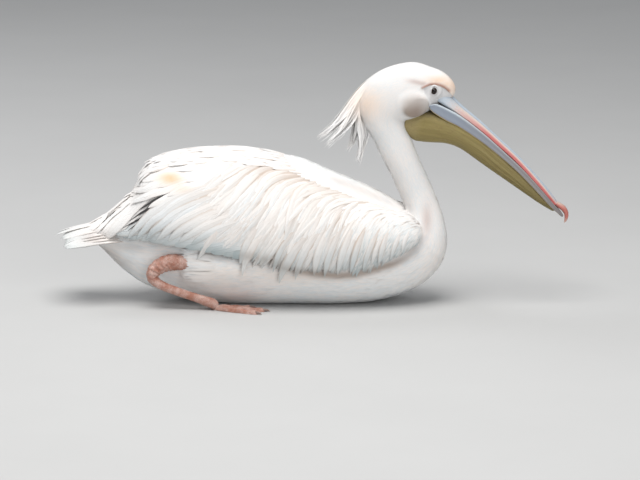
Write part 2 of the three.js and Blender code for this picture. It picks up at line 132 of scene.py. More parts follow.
# A closed skin from a grid of rings: each end is closed by a fan to the middle of its last ring.
# Its maps run from 0 to 1 along the rings and round them.
def putTube(name, grid, material, marks=None, outward=1):
    rows, cols = grid.shape[:2]
    points = np.concatenate([grid.reshape(-1, 3), grid[0].mean(0)[None], grid[-1].mean(0)[None]])
    quads = gridQuads(rows, cols, True)
    j = np.arange(cols)
    k = (j + 1) % cols
    first = np.stack([np.full(cols, rows * cols), k, j], -1)
    last = np.stack([np.full(cols, rows * cols + 1), j + (rows - 1) * cols, k + (rows - 1) * cols], -1)
    i = np.repeat(np.arange(rows - 1), cols)
    low, high = np.tile(j, rows - 1) / cols, (np.tile(j, rows - 1) + 1) / cols
    a, b = i / (rows - 1), (i + 1) / (rows - 1)
    quadMap = np.stack([np.stack(p, -1) for p in ((a, low), (a, high), (b, high), (b, low))], 1)
    fanMap = [np.stack([np.stack([np.full(cols, end), (j + turn) / cols], -1) for turn in corners], 1)
              for end, corners in ((0.0, (0.5, 1, 0)), (1.0, (0.5, 0, 1)))]
    if outward > 0:
        quads, first, last, quadMap = (part[:, ::-1] for part in (quads, first, last, quadMap))
        fanMap = [part[:, ::-1] for part in fanMap]
    lay = np.concatenate([part.reshape(-1, 2) for part in (quadMap, *fanMap)])
    marks = {key: np.concatenate([v, v[:1], v[-1:]]) for key, v in (marks or {}).items()}
    return putMesh(name, points, [quads, np.concatenate([first, last])], material,
                   {"lay": lay, "OFBake": lay * 0.98 + 0.01}, marks)


# Outward normals of a grid of rings, from the differences between neighbouring points.
def ringNormals(grid):
    along = np.gradient(grid, axis=0)
    across = np.roll(grid, -1, 1) - np.roll(grid, 1, 1)
    return unit(np.cross(along, across))


# A tube carried along a path: its section is a superellipse, with half-width times |sin|^(2/n) across and
# half-height times |cos|^(2/n) up, where n is squareness. Rows are x, y, z, half-width, half-height.
def limbGrid(rows, count, around, squareness=2.0):
    row = spline(rows, np.linspace(0, len(rows) - 1, count))
    centre = row[:, :3]
    ahead = unit(np.gradient(centre, axis=0))
    side = unit(np.array([0.0, 1.0, 0.0]) - ahead * ahead[:, 1:2])
    up = np.cross(ahead, side)
    a = turns(around)
    c, sine = (np.sign(v) * np.abs(v) ** (2 / squareness) for v in (np.cos(a), np.sin(a)))
    return (centre[:, None] + side[:, None] * (row[:, 3:4] * sine)[..., None]
            + up[:, None] * (row[:, 4:5] * c)[..., None]) * mm


def newMaterial(name, **sockets):
    material = bpy.data.materials.new(name)
    material.use_nodes = True
    shader = material.node_tree.nodes["Principled BSDF"]
    for key, value in sockets.items():
        shader.inputs[key.replace("_", " ")].default_value = value
    return material, material.node_tree, shader


def node(tree, kind, inputs=None, **settings):
    made = tree.nodes.new("ShaderNode" + kind)
    for key, value in settings.items():
        setattr(made, key, value)
    for key, value in (inputs or {}).items():
        if isinstance(value, bpy.types.NodeSocket):
            tree.links.new(value, made.inputs[key])
        else:
            made.inputs[key].default_value = value
    return made


def calc(tree, operation, first, second=0.0, clamp=False):
    return node(tree, "Math", {0: first, 1: second}, operation=operation, use_clamp=clamp).outputs[0]


def plus(tree, first, second, clamp=False):
    return calc(tree, "ADD", first, second, clamp)


def minus(tree, first, second):
    return calc(tree, "SUBTRACT", first, second)


def times(tree, first, second, clamp=False):
    return calc(tree, "MULTIPLY", first, second, clamp)


def blend(tree, share, first, second):  # first where share is 0, second where it is 1
    first, second = ((*c, 1) if isinstance(c, tuple) else c for c in (first, second))
    return node(tree, "Mix", {0: share, 6: first, 7: second}, data_type="RGBA").outputs[2]


def noiseAt(tree, where, scale, detail=3.0, rough=0.55):
    made = node(tree, "TexNoise", {"Vector": where, "Scale": scale, "Detail": detail, "Roughness": rough})
    return made.outputs["Fac"]


def rampOf(tree, value, stops):  # stops: place, colour
    made = node(tree, "ValToRGB", {"Fac": value})
    made.color_ramp.interpolation = "EASE"
    while len(made.color_ramp.elements) < len(stops):
        made.color_ramp.elements.new(0.5)
    for element, (place, colour) in zip(made.color_ramp.elements, stops):
        element.position = place
        element.color = (*colour, 1)
    return made.outputs["Color"]


def stepOf(tree, value, low, high):  # 0 to 1 as value runs from low to high
    return node(tree, "MapRange", {"Value": value, "From Min": low, "From Max": high}).outputs["Result"]


def cellEdges(tree, where, scale):  # distance from the nearest edge of a cell
    made = node(tree, "TexVoronoi", {"Vector": where, "Scale": scale}, feature="DISTANCE_TO_EDGE")
    return made.outputs["Distance"]


def objectPlace(tree):
    return node(tree, "TexCoord").outputs["Object"]


def layOf(tree):  # the piece's own map: X along a tube or across a vane, Y round the tube or along the vane
    lay = node(tree, "SeparateXYZ", {"Vector": node(tree, "UVMap", uv_map="lay").outputs["UV"]}).outputs
    return lay["X"], lay["Y"]


def paint(tree, shader, colour, height, strength, distance):  # distance: how deep the bump is, in metres
    tree.links.new(colour, shader.inputs["Base Color"])
    made = node(tree, "Bump", {"Height": height, "Strength": strength, "Distance": distance})
    tree.links.new(made.outputs["Normal"], shader.inputs["Normal"])


featherLook = {
    "white": (0.88, 0.85, 0.825), "cool": (0.79, 0.82, 0.835),  # clean plumage, warm and cool
    "coolNoise": 7.0, "coolFrom": (0.35, 0.75),
    # painted shade: the colour at a vane's root, where the vane over it ends, and along its edges
    "shade": (0.60, 0.51, 0.445), "rimFrom": 0.55,  # at the root, and along the edge from this far out
    # at the tip: blue-grey on feathers low on the bird, partly their own grey and partly painted shade
    "tipGreyAndShade": (0.40, 0.465, 0.475), "tipGreyAndShadeBelow": (0.20, 0.13),  # at the tip; it grows between these heights
    "blush": (0.84, 0.55, 0.34), "cheek": (0.34, 0.27, 0.225), "stain": (0.36, 0.185, 0.135),
    "bare": (0.68, 0.67, 0.67),
    "streaks": (7.0, 1.6), "barbs": 52.0, "barbSlant": 4.6, "barbHeight": 0.10,
    "shaft": (0.02, 0.12), "shaftHeight": 0.9, "relief": 0.0008,
    "skinPores": 900.0, "skinFolds": 150.0, "skinRelief": 0.0014,
}


# Plumage colour: white warmed and cooled by slow noise, with the bird's markings over it. The marks
# attribute holds, as red, green, blue and alpha, how much of blush, cheek, stain and bare skin shows; the
# cheek's grey also serves as painted shade and the stain's brown as a painted shadow line under the brow.
def plumageColour(tree, where, tone=0.5):
    look = featherLook
    cool = plus(tree, stepOf(tree, noiseAt(tree, where, look["coolNoise"]), *look["coolFrom"]),
                minus(tree, tone, 0.5), True)
    colour = blend(tree, cool, look["white"], look["cool"])
    marks = node(tree, "Attribute", attribute_name="marks")
    parts = node(tree, "SeparateColor", {"Color": marks.outputs["Color"]})
    for key, part in zip(("blush", "cheek", "stain"), ("Red", "Green", "Blue")):
        colour = blend(tree, parts.outputs[part], colour, look[key])
    return blend(tree, marks.outputs["Alpha"], colour, look["bare"])


# A vane: painted shade runs from its root, where the vane over it casts its shadow, and lies along its
# edges as painted shadow between vanes; low on the bird its tip turns blue-grey, partly its own grey and
# partly painted shade. A firm vane has slanting barbs as a fine ripple and a raised shaft; a soft one has
# streaks along it. tone is its own: it cools the white and deepens the painted shade.
def vaneMaterial(name, root=(0.5, 0.5), edge=0.2, firm=True, tint=None, tip=None, sheen=0.12):
    look = featherLook
    material, tree, shader = newMaterial(name, Roughness=0.8, Sheen_Weight=sheen, Sheen_Roughness=0.6)
    where = objectPlace(tree)
    side, along = layOf(tree)
    across = times(tree, calc(tree, "ABSOLUTE", minus(tree, side, 0.5)), 2.0)
    tone = node(tree, "Attribute", attribute_name="tone").outputs["Fac"]
    if tint is None:
        colour = plumageColour(tree, where, tone)
        # painted shade at the root and along the edges, deeper for a higher tone
        base = times(tree, minus(tree, 1.0, stepOf(tree, along, 0.0, root[1])), root[0])
        rim = times(tree, stepOf(tree, across, look["rimFrom"], 1.0), edge)
        shade = times(tree, plus(tree, base, rim), plus(tree, tone, 0.5), True)
        colour = blend(tree, shade, colour, look["shade"])
    else:
        colour = blend(tree, noiseAt(tree, where, 60.0), *tint)
    # blue-grey towards the tip, only below the given heights: partly the feathers' grey, partly painted shade
    if tip is not None:
        tipGreyAndShade = times(tree, stepOf(tree, along, tip[1], 1.0), tip[0])
        tipGreyAndShade = times(tree, tipGreyAndShade, plus(tree, times(tree, tone, 0.7), 0.5))
        height = node(tree, "SeparateXYZ", {"Vector": where}).outputs["Z"]
        tipGreyAndShade = times(tree, tipGreyAndShade, stepOf(tree, height, *look["tipGreyAndShadeBelow"]), True)
        colour = blend(tree, tipGreyAndShade, colour, look["tipGreyAndShade"])
    streakAt = node(tree, "CombineXYZ", {
        "X": times(tree, side, look["streaks"][0]), "Y": times(tree, along, look["streaks"][1]),
        "Z": times(tree, tone, 40.0)})
    height = noiseAt(tree, streakAt.outputs["Vector"], 1.0, 3.0, 0.7)
    if firm:
        slant = minus(tree, times(tree, along, look["barbs"]), times(tree, across, look["barbSlant"]))
        ripple = calc(tree, "SINE", times(tree, slant, fullTurn))
        line = minus(tree, 1.0, stepOf(tree, across, *look["shaft"]))
        height = plus(tree, height, times(tree, ripple, look["barbHeight"]))
        height = plus(tree, height, times(tree, line, look["shaftHeight"]))
    paint(tree, shader, colour, height, 0.5 if firm else 0.25, look["relief"])
    return material


# Skin among the feathers: plumage colour over fine pores and soft folds.
def skinMaterial():
    material, tree, shader = newMaterial("featheredSkin", Roughness=0.7, Sheen_Weight=0.12)
    where = objectPlace(tree)
    pores = noiseAt(tree, where, featherLook["skinPores"], 2.0)
    folds = noiseAt(tree, where, featherLook["skinFolds"], 4.0, 0.6)
    paint(tree, shader, plumageColour(tree, where), plus(tree, times(tree, pores, 0.4), folds), 0.8,
          featherLook["skinRelief"])
    return material


# root and edge set the painted shade of each look; tip sets its blue-grey tips, partly painted shade
vaneLooks = {  # root: shade and how far it runs; edge: shade; tip: dusk and where it starts
    "softPlumage": {"root": (0.14, 0.7), "edge": 0.04, "firm": False},
    "loosePlumage": {"root": (0.08, 0.5), "edge": 0.0, "firm": False, "sheen": 0.6},
    "wingPlumage": {"root": (0.80, 0.85), "edge": 0.78, "tip": (0.60, 0.45)},
    "quillPlumage": {"root": (0.38, 0.6), "edge": 0.30},
    "secondaryPlumage": {"root": (0.70, 0.7), "edge": 0.70, "tip": (1.0, 0.35)},
    "wristPlumage": {"root": (0.45, 0.8), "edge": 0.35, "firm": False, "tip": (1.0, 0.05)},
    "darkQuills": {"tint": ((0.022, 0.020, 0.021), (0.065, 0.060, 0.060))},
}
vaneLook = {name: vaneMaterial(name, **look) for name, look in vaneLooks.items()}
skinLook = skinMaterial()
print("materials ready")

body = {
    "sections": [  # back x z, belly x z, half-width, widest place
        (-446, 150, -436, 138, 24, 0.45), (-416, 172, -404, 116, 42, 0.45), (-368, 202, -360, 70, 56, 0.48),
        (-312, 232, -308, 34, 71, 0.5), (-250, 262, -246, 14, 91, 0.5), (-180, 294, -178, -1, 112, 0.52),
        (-100, 318, -98, -5, 126, 0.54), (0, 318.5, 4, -5, 132, 0.55), (92, 284, 98, -5, 129, 0.55),
        (162, 255, 180, 1, 118, 0.55), (208, 231, 246, 18, 102, 0.54), (233, 215, 295, 45, 85, 0.52),
        (243, 208, 327, 82, 70, 0.5), (244, 211, 339, 127, 58, 0.5), (239, 226, 333, 172, 50, 0.5),
        (229, 248, 321, 212, 46, 0.5), (214, 280, 302, 258, 43, 0.5), (195, 316, 281, 304, 41, 0.5),
        (176, 354, 264, 346, 38, 0.5), (156, 388, 250, 374, 37, 0.5), (142, 420, 247, 390, 37, 0.54),
        (143, 450, 252, 394, 37, 0.58), (163, 480, 260, 395, 37, 0.6), (196, 503, 270, 397, 37, 0.62),
        (234, 516, 283, 403, 36, 0.62), (268, 519, 297, 413, 33, 0.6), (299, 510, 309, 423, 29, 0.56),
        (324, 500, 322, 430, 25, 0.52), (343, 485, 336, 436, 20, 0.52), (353, 468, 346, 440, 12, 0.55),
        (354, 456, 350, 445, 5, 0.5),
    ],
    "powers": (2.0, 2.35), "keel": 0.4, "keelCoat": 1.4,  # lowest place, and what the coat adds to it
    "headFrom": (18.5, 20.5), "middle": 12,  # section numbers, and how near the middle the pushes fade
    "rings": [8] * 12 + [7] * 7 + [20] * 11, "around": 200,  # rings from section to section, points round
    "coatAt": (0, 10, 13, 16, 20, 24, 27, 30),  # section number
    "coatDepth": (3.2, 3.0, 2.6, 2.2, 1.9, 1.6, 1.1, 0.6),
    "cheek": {"at": (262, 434), "reach": (38, 33), "push": 7.0},
    "brow": [(284, 468), (292, 472), (301, 474.5), (311, 475), (320, 472.5), (330, 467.5), (339, 459.5),
             (347, 449)],
    "browPush": 2.6,
    "face": [(283, 467), (301, 473), (318, 472), (333, 464), (346, 449), (352, 440), (330, 428),
             (304, 424), (299, 433), (295, 443), (287, 455)],
    "faceSink": 1.7,
    "eyeAt": (307.5, 461), "eyePlate": 27.6, "eyePlateReach": (12.5, 21),
    "thigh": {"at": (-146, 88), "reach": (92, 46), "push": 13.0, "before": 12},
}
lastSection = len(body["sections"]) - 1


def coatDepth(u):
    return np.interp(u, body["coatAt"], body["coatDepth"])


def lineDistance(line, x, z):  # distance in the side view from a line through points x z
    start, end = np.array(line[:-1], float), np.array(line[1:], float)
    point = np.stack([x, z], -1)[..., None, :]
    edge = end - start
    t = np.clip(((point - start) * edge).sum(-1) / (edge ** 2).sum(-1), 0, 1)
    return np.sqrt((((start + edge * t[..., None]) - point) ** 2).sum(-1)).min(-1)


# The same from a closed outline, negative inside it, where a level line to the right crosses it an odd
# number of times.
def outlineDistance(outline, x, z):
    away = lineDistance(outline + outline[:1], x, z)
    start = np.array(outline, float)
    end = np.roll(start, -1, 0)
    edge = end - start
    crosses = (start[:, 1] > z[..., None]) != (end[:, 1] > z[..., None])
    at = start[:, 0] + (z[..., None] - start[:, 1]) * edge[:, 0] / np.where(edge[:, 1] == 0, 1e-9, edge[:, 1])
    inside = (crosses & (x[..., None] < at)).sum(-1) % 2 == 1
    return np.where(inside, -away, away)


# How far a point sits inside the cheek: 1 at the middle, falling to 0 sharply in front and below and
# slowly behind and above.
def cheekShare(x, z):
    cheek = body["cheek"]
    dx, dz = (x - cheek["at"][0]) / cheek["reach"][0], (z - cheek["at"][1]) / cheek["reach"][1]
    away = np.hypot(dx, dz)
    sharp = smooth(-0.9, 0.8, (dx * 0.72 - dz * 0.7) / np.maximum(away, 1e-6))
    width = 0.95 - 0.80 * sharp
    return 1 - smooth(1 - width, 1.0 + 0.05 * width, away)


def faceShare(x, z):
    return 1 - smooth(-3.0, 1.5, outlineDistance(body["face"], x, z))


def thighShare(x, z):  # one less the square of the distance in reaches, to the power 1.3
    thigh = body["thigh"]
    dx, dz = (x - thigh["at"][0]) / thigh["reach"][0], (z - thigh["at"][1]) / thigh["reach"][1]
    return np.clip(1 - dx ** 2 - dz ** 2, 0, 1) ** 1.3


# The skin: a section point, pushed out sideways at cheek, brow and thigh, sunk over the bare face, and
# drawn to a flat plate round the eye, where the lids sit. The part under the floor is pressed flat.
def skinPoint(u, a, coat=1.0):
    u, a = np.broadcast_arrays(np.asarray(u, float), np.asarray(a, float))
    point = sectionPoint(body["sections"], u, a, body["powers"], coatDepth(u) * coat)
    x, y, z = point[..., 0], point[..., 1], point[..., 2]
    side = np.sign(y)
    middle = np.clip(np.abs(y) / body["middle"], 0, 1)
    onHead = smooth(*body["headFrom"], u)
    y = y + side * middle * onHead * body["cheek"]["push"] * cheekShare(x, z)
    above = smooth(-2.0, 5.0, lineDistance(body["brow"], x, z))
    y = y + side * middle * onHead * body["browPush"] * (1 - above) * (1 - 0.6 * faceShare(x, z))
    y = y - side * middle * onHead * body["faceSink"] * faceShare(x, z)
    away = np.hypot(x - body["eyeAt"][0], z - body["eyeAt"][1])
    plate = (1 - smooth(*body["eyePlateReach"], away)) * onHead * (np.abs(y) > body["middle"])
    y = y + (side * body["eyePlate"] - y) * plate
    y = y + side * middle * body["thigh"]["push"] * thighShare(x, z) * (u < body["thigh"]["before"])
    z = np.maximum(z, body["keel"] + body["keelCoat"] * coat)
    return np.stack([x, y, z], -1) * mm


# The bird's markings: blush on nape, forehead, back and belly, a grey-pink cheek that is paler high up as
# painted light, brown stains at the foot of the neck and by the tail, painted grey shade under the tail by
# the vent, where there is some brown stain too, under the wings, in the groove along the mantle and on the
# neck, a reddish-brown line along the brow deepened as painted shadow under its edge, painted shade behind
# the eye, and bare skin on the face.
markings = {
    "blush": [  # x, z, reach in x and z, strength
        (163, 432, 34, 36, 0.46), (349, 470, 22, 28, 0.58), (318, 483, 26, 9, 0.62), (336, 475, 18, 9, 0.6),
        (-254, 281, 24, 11, 1.0), (-226, 262, 22, 9, 0.36), (-150, 262, 26, 8, 0.14), (322, 92, 60, 40, 0.10),
        (-110, 86, 80, 28, 0.15), (30, 74, 110, 18, 0.16), (190, 70, 70, 24, 0.10),
    ],
    "stain": [(293, 184, 12, 34, 0.42), (288, 156, 18, 22, 0.20), (-425, 148, 26, 12, 0.38)],
    # by the vent: painted shade under the tail, with some brown stain
    "ventShadeAndStain": [(-400, 108, 36, 20, 0.66), (-372, 90, 28, 18, 0.50), (-350, 126, 50, 12, 0.32)],
    # lines: points x z, width, strength, and how far from the middle plane they come in
    # painted shade under the overhanging lower edge of the wings, its strength along the bird as listed below
    "underWing": ([(-200, 132), (-131, 126), (-90, 126), (-54, 118), (-24, 104), (12, 90), (60, 82),
                   (100, 78), (140, 80), (187, 91), (221, 100), (246, 110), (264, 126)], 10.0, 1.0, (40, 70)),
    "underWingAt": (-200, -120, 0, 60, 214, 262), "underWingShade": (0.0, 0.45, 0.66, 0.90, 0.90, 0.40),
    # painted shade in the groove between the mantle and the folded wings
    "mantle": ([(96, 274), (150, 252), (206, 230), (250, 212)], 9.0, 0.30, (20, 45)),
    # painted shade on the side of the neck, away from the light overhead
    "neck": ([(222, 398), (242, 356), (258, 312), (278, 262)], 42.0, 0.17, (8, 26)),
    # painted shade behind the eye, fading in from the given x
    "behindEye": ([(240, 484), (266, 481), (286, 476)], 5.6, 0.46, (8, 14)), "behindEyeFrom": (236, 270),
    # a reddish-brown line along the brow, deepened as painted shadow under the brow's edge, with its rise
    "browLineAndShadow": (body["brow"][:7], 3.8, 0.96, (8, 14)), "browLineRise": 0.6,
    # the cheek's grey: weaker by a share high up, as painted light where its bulge faces the light above,
    # heights over its middle, and by a share in front
    "cheekAt": (262, 436), "cheekPale": (0.48, 16, -24), "cheekFront": (0.36, 268, 296),
    "cheekOuter": (8, 24), "headOuter": (8, 14),  # how far from the middle plane they come in
    "headFrom": (130, 385), "neckFrom": 200,  # x z, and height
}


def spotShare(key, x, z):  # the strongest of several spots
    return np.max([np.exp(-((x - cx) / rx) ** 2 - ((z - cz) / rz) ** 2) * strength
                   for cx, cz, rx, rz, strength in markings[key]], axis=0)


def lineShare(key, x, y, z):
    line, width, strength, fade = markings[key]
    return bell(lineDistance(line, x, z) / width) * strength * smooth(*fade, y)


# How much of each marking shows at points in metres: the strongest of its spots and lines, both sides alike.
def marksAt(point):
    x, y, z = point[..., 0] / mm, np.abs(point[..., 1] / mm), point[..., 2] / mm
    made = np.zeros(point.shape[:-1] + (4,))
    onHead = (x > markings["headFrom"][0]) & (z > markings["headFrom"][1])
    bare = faceShare(x, z) * onHead * smooth(*markings["headOuter"], y)
    cheekX, cheekZ = markings["cheekAt"]
    pale, *heights = markings["cheekPale"]
    front, *reach = markings["cheekFront"]
    # painted light: the cheek's grey fades upwards, where its bulge faces the light from above
    fading = 1 - pale + pale * smooth(*heights, z - cheekZ - 0.25 * (x - cheekX))
    fading = fading * (1 - front * smooth(*reach, x))
    cheek = smooth(0.0, 1.0, cheekShare(x, z)) * fading * onHead * smooth(*markings["cheekOuter"], y)
    # painted shade under the lower edge of the wings
    under = np.interp(x, markings["underWingAt"], markings["underWingShade"])
    under = under * lineShare("underWing", x, y, z)
    # painted shade in the mantle's groove and on the side of the neck
    neck = np.maximum(lineShare("mantle", x, y, z), lineShare("neck", x, y, z))
    # painted shade behind the eye
    behind = lineShare("behindEye", x, y, z) * smooth(*markings["behindEyeFrom"], x)
    # brow line with painted shadow under the brow's edge, and painted shade behind the eye
    browLineAndShadow = np.maximum(lineShare("browLineAndShadow", x, y, z - markings["browLineRise"]), behind) * onHead
    made[..., 0] = spotShare("blush", x, z) * (1 - bare)
    below = np.where(z < markings["neckFrom"], under, neck)
    # the cheek's grey, also painted shade under the wings, in the mantle's groove, on the neck and by the
    # vent
    made[..., 1] = np.maximum(np.maximum(cheek, spotShare("ventShadeAndStain", x, z)), below) * (1 - bare)
    made[..., 2] = np.maximum(spotShare("stain", x, z), browLineAndShadow)
    made[..., 3] = bare
    return made


u = np.concatenate([np.linspace(i, i + 1, n, endpoint=False) for i, n in enumerate(body["rings"])]
                   + [[lastSection]])[:, None]
skinGrid = skinPoint(u, turns(body["around"])[None, :])
skin = putTube("skin", skinGrid, skinLook, {"marks": marksAt(skinGrid).reshape(-1, 4)})
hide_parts("trunk", "neck", "head", "thigh_right", "thigh_left")
print("skin:", len(skin.data.polygons), "faces")


# Walks every vane over a surface of two parameters. At each row the step has the wanted length on the
# surface and the wanted heading, in degrees down from straight back along the first parameter.
def walkVanes(surface, first, second, heading, length, rows, downSign=None, normalSign=1):
    stepLength = np.broadcast_to(length, first.shape) / (rows - 1)
    path, normals = [], []
    small = 1e-3
    for row in range(rows):
        here = surface(first, second)
        alongFirst = (surface(first + small, second) - here) / small
        alongSecond = (surface(first, second + small) - here) / small
        normal = unit(np.cross(alongFirst, alongSecond)) * normalSign
        back = -unit(alongFirst)
        down = alongSecond if downSign is None else alongSecond * downSign(second)[:, None]
        down = unit(down - back * (down * back).sum(-1, keepdims=True))
        angle = np.radians(heading(first, second, row / (rows - 1)))[:, None]
        want = back * np.cos(angle) + down * np.sin(angle)
        g11, g12, g22 = ((p * q).sum(-1) for p, q in (
            (alongFirst, alongFirst), (alongFirst, alongSecond), (alongSecond, alongSecond)))
        r1, r2 = (want * alongFirst).sum(-1), (want * alongSecond).sum(-1)
        det = np.maximum(g11 * g22 - g12 * g12, 1e-14)
        path.append(here)
        normals.append(normal)
        first = first + stepLength * (r1 * g22 - r2 * g12) / det
        second = second + stepLength * (r2 * g11 - r1 * g12) / det
    return np.stack(path, 1), np.stack(normals, 1)


def walkSkin(us, angles, turn, length, rows):  # over the skin towards the vent, turned down by turn degrees
    return walkVanes(skinPoint, us, angles, lambda f, s, t: turn, length * mm, rows,
                     lambda a: np.where(np.sin(a) >= 0, 1.0, -1.0))


# Vanes on their paths: a closed sliver whose top is arched by the camber and whose under side is flat.
# width(t) is the outline along the vane, lift(t) how far it stands off the path, roll tips it sideways.
def vanePoints(path, normals, halfWidth, width, lift, camber, cols, roll=None, ragged=1.0):
    rows = path.shape[1]
    t = np.linspace(0, 1, rows)
    s = np.linspace(-1, 1, cols)
    across = unit(np.cross(normals, unit(np.gradient(path, axis=1))))
    if roll is not None:
        c, sine = (f(np.radians(roll)[:, None, None]) for f in (np.cos, np.sin))
        across, normals = across * c + normals * sine, normals * c - across * sine
    half = np.reshape(halfWidth, (-1, 1)) * width(t)[None, :] * ragged
    rise = np.reshape(camber, (-1, 1)) * half
    centre = path + normals * lift(t)[..., None]
    return (centre[:, :, None] + across[:, :, None] * (half[..., None] * s)[..., None]
            + normals[:, :, None] * (rise[..., None] * (1 - s ** 2))[..., None])


vane = {"floorGap": 0.0006, "patch": 0.003}  # metres over the floor, and a vane's size on the unwrap


# Joins all vanes into one mesh. roots are each vane's place on the unwrap of the skin, 0 to 1. With shared
# normals, the tops shade by that share of the surface they lie on, as a smooth coat does.
def putVanes(name, points, roots, material, tone, shared=None, share=0.0):
    count, rows, cols = points.shape[:3]
    points = points.copy()
    points[..., 2] = np.maximum(points[..., 2], vane["floorGap"])
    quads = gridQuads(rows, cols, True)[:, ::-1]
    caps = np.stack([np.arange(cols), np.arange(cols)[::-1] + (rows - 1) * cols])
    lay = np.stack(np.meshgrid(np.linspace(0, 1, cols), np.linspace(0, 1, rows)), -1).reshape(-1, 2)
    offset = (np.arange(count) * rows * cols)[:, None, None]
    allQuads = (quads[None] + offset).reshape(-1, 4)
    allCaps = (caps[None] + offset).reshape(-1, cols)
    maps = [np.broadcast_to(lay[part][None], (count,) + lay[part].shape) for part in (quads, caps)]
    bake = [roots[:, None, None] + (uv - 0.5) * vane["patch"] for uv in maps]
    layMap, bakeMap = (np.concatenate([uv.reshape(-1, 2) for uv in pair]) for pair in (maps, bake))
    under = np.tile(np.arange(cols) == cols - 1, count * (rows - 1))  # flat, apart from the top's shading
    cornerNormals = None
    if shared is not None:
        own = unit(np.cross(np.gradient(points, axis=2), np.gradient(points, axis=1)))
        own = own * np.sign((own * shared[:, :, None]).sum(-1, keepdims=True))
        tops = unit(shared[:, :, None] * share + own * (1 - share)).reshape(-1, 3)
        quadNormals = tops[allQuads] * np.where(under, -1.0, 1.0)[:, None, None]
        cornerNormals = np.concatenate([quadNormals.reshape(-1, 3), tops[allCaps].reshape(-1, 3)])
    piece = putMesh(name, points.reshape(-1, 3), [allQuads, allCaps], material,
                    {"lay": layMap, "OFBake": np.clip(bakeMap, 0.0005, 0.9995)},
                    {"marks": marksAt(points).reshape(-1, 4), "tone": np.repeat(tone, rows * cols)},
                    np.concatenate([under, np.ones(count * 2, bool)]), cornerNormals)
    print(name, count, "vanes")
    return piece


# A stiff feather leaves a surface that curves away from it: past its first part its path is drawn towards
# the straight line it started on.
def stiffen(path, share):
    count = path.shape[1]
    t = np.linspace(0, 1, count)[None, :, None]
    start = max(count // 4, 1)
    straight = path[:, :1] + (path[:, start:start + 1] - path[:, :1]) * t * (count - 1) / start
    return path + (straight - path) * share * smooth(0.25, 1, t)


# Narrow at the root, full at widest, pointed at the tip: the width rises as a quarter of a sine to the
# power 0.8, and falls as a quarter of a cosine to the power point.
def leafWidth(t, widest=0.42, point=1.0):
    rising = np.sin(np.clip(t / widest, 0, 1) * math.pi / 2) ** 0.8
    falling = np.cos(np.clip((t - widest) / (1 - widest), 0, 1) * math.pi / 2) ** point
    return np.maximum((0.25 + 0.75 * rising) * falling, 0.03)


def bladeWidth(t):  # a leaf that stays wide until near its tip
    return leafWidth(t, 0.6, 0.55)


def lockWidth(t):  # a lock of long feathers, widest past its middle, drawn out to a point
    return leafWidth(t, 0.58, 0.85)


def softWidth(t):  # a short body feather
    return leafWidth(t, 0.4, 0.8)


def spatulaWidth(t, roundness=0.82):  # even blade whose tip is a half ellipse
    tip = np.sqrt(np.clip(1 - np.clip((t - roundness) / (1 - roundness), 0, 1) ** 2, 0, 1))
    return np.maximum((0.45 + 0.55 * smooth(0, 0.3, t)) * tip, 0.04)


# Roots in staggered rows over the body: rows follow the sections, spaced along and round by the table of
# section number and spacing in millimetres.
def bodyRoots(low, high, spacing, rng, jitter=0.35):
    fine = np.linspace(low, high, 400)
    line = skinPoint(fine, np.full(400, math.pi / 2))
    lengths = np.linalg.norm(np.diff(line, axis=0), axis=1) / mm
    perMm = 1 / np.interp(fine, *spacing)
    total = np.concatenate([[0], np.cumsum(lengths * (perMm[1:] + perMm[:-1]) / 2)])
    rows = np.interp(np.arange(0.5, total[-1]), total, fine)
    us, angles = [], []
    for number, place in enumerate(rows):
        ring = skinPoint(np.full(240, place), np.linspace(0, fullTurn, 240))
        girth = np.concatenate([[0], np.cumsum(np.linalg.norm(np.diff(ring, axis=0), axis=1))]) / mm
        count = max(int(girth[-1] / np.interp(place, *spacing)), 6)
        where = (np.arange(count) + 0.5 * (number % 2)) / count * girth[-1]
        angles.append(np.interp(where, girth, np.linspace(0, fullTurn, 240)))
        us.append(np.full(count, place))
    us, angles = np.concatenate(us), np.concatenate(angles)
    gap = np.interp(us, *spacing)
    rate = np.interp(us, fine[:-1], lengths / np.diff(fine))
    us = us + rng.uniform(-jitter, jitter, len(us)) * gap / rate
    angles = angles + rng.uniform(-jitter, jitter, len(us)) * gap / 90
    return np.clip(us, low, high), angles % fullTurn


def bodyUnwrap(us, angles):
    return np.stack([us / lastSection, angles / fullTurn], -1) * 0.98 + 0.01


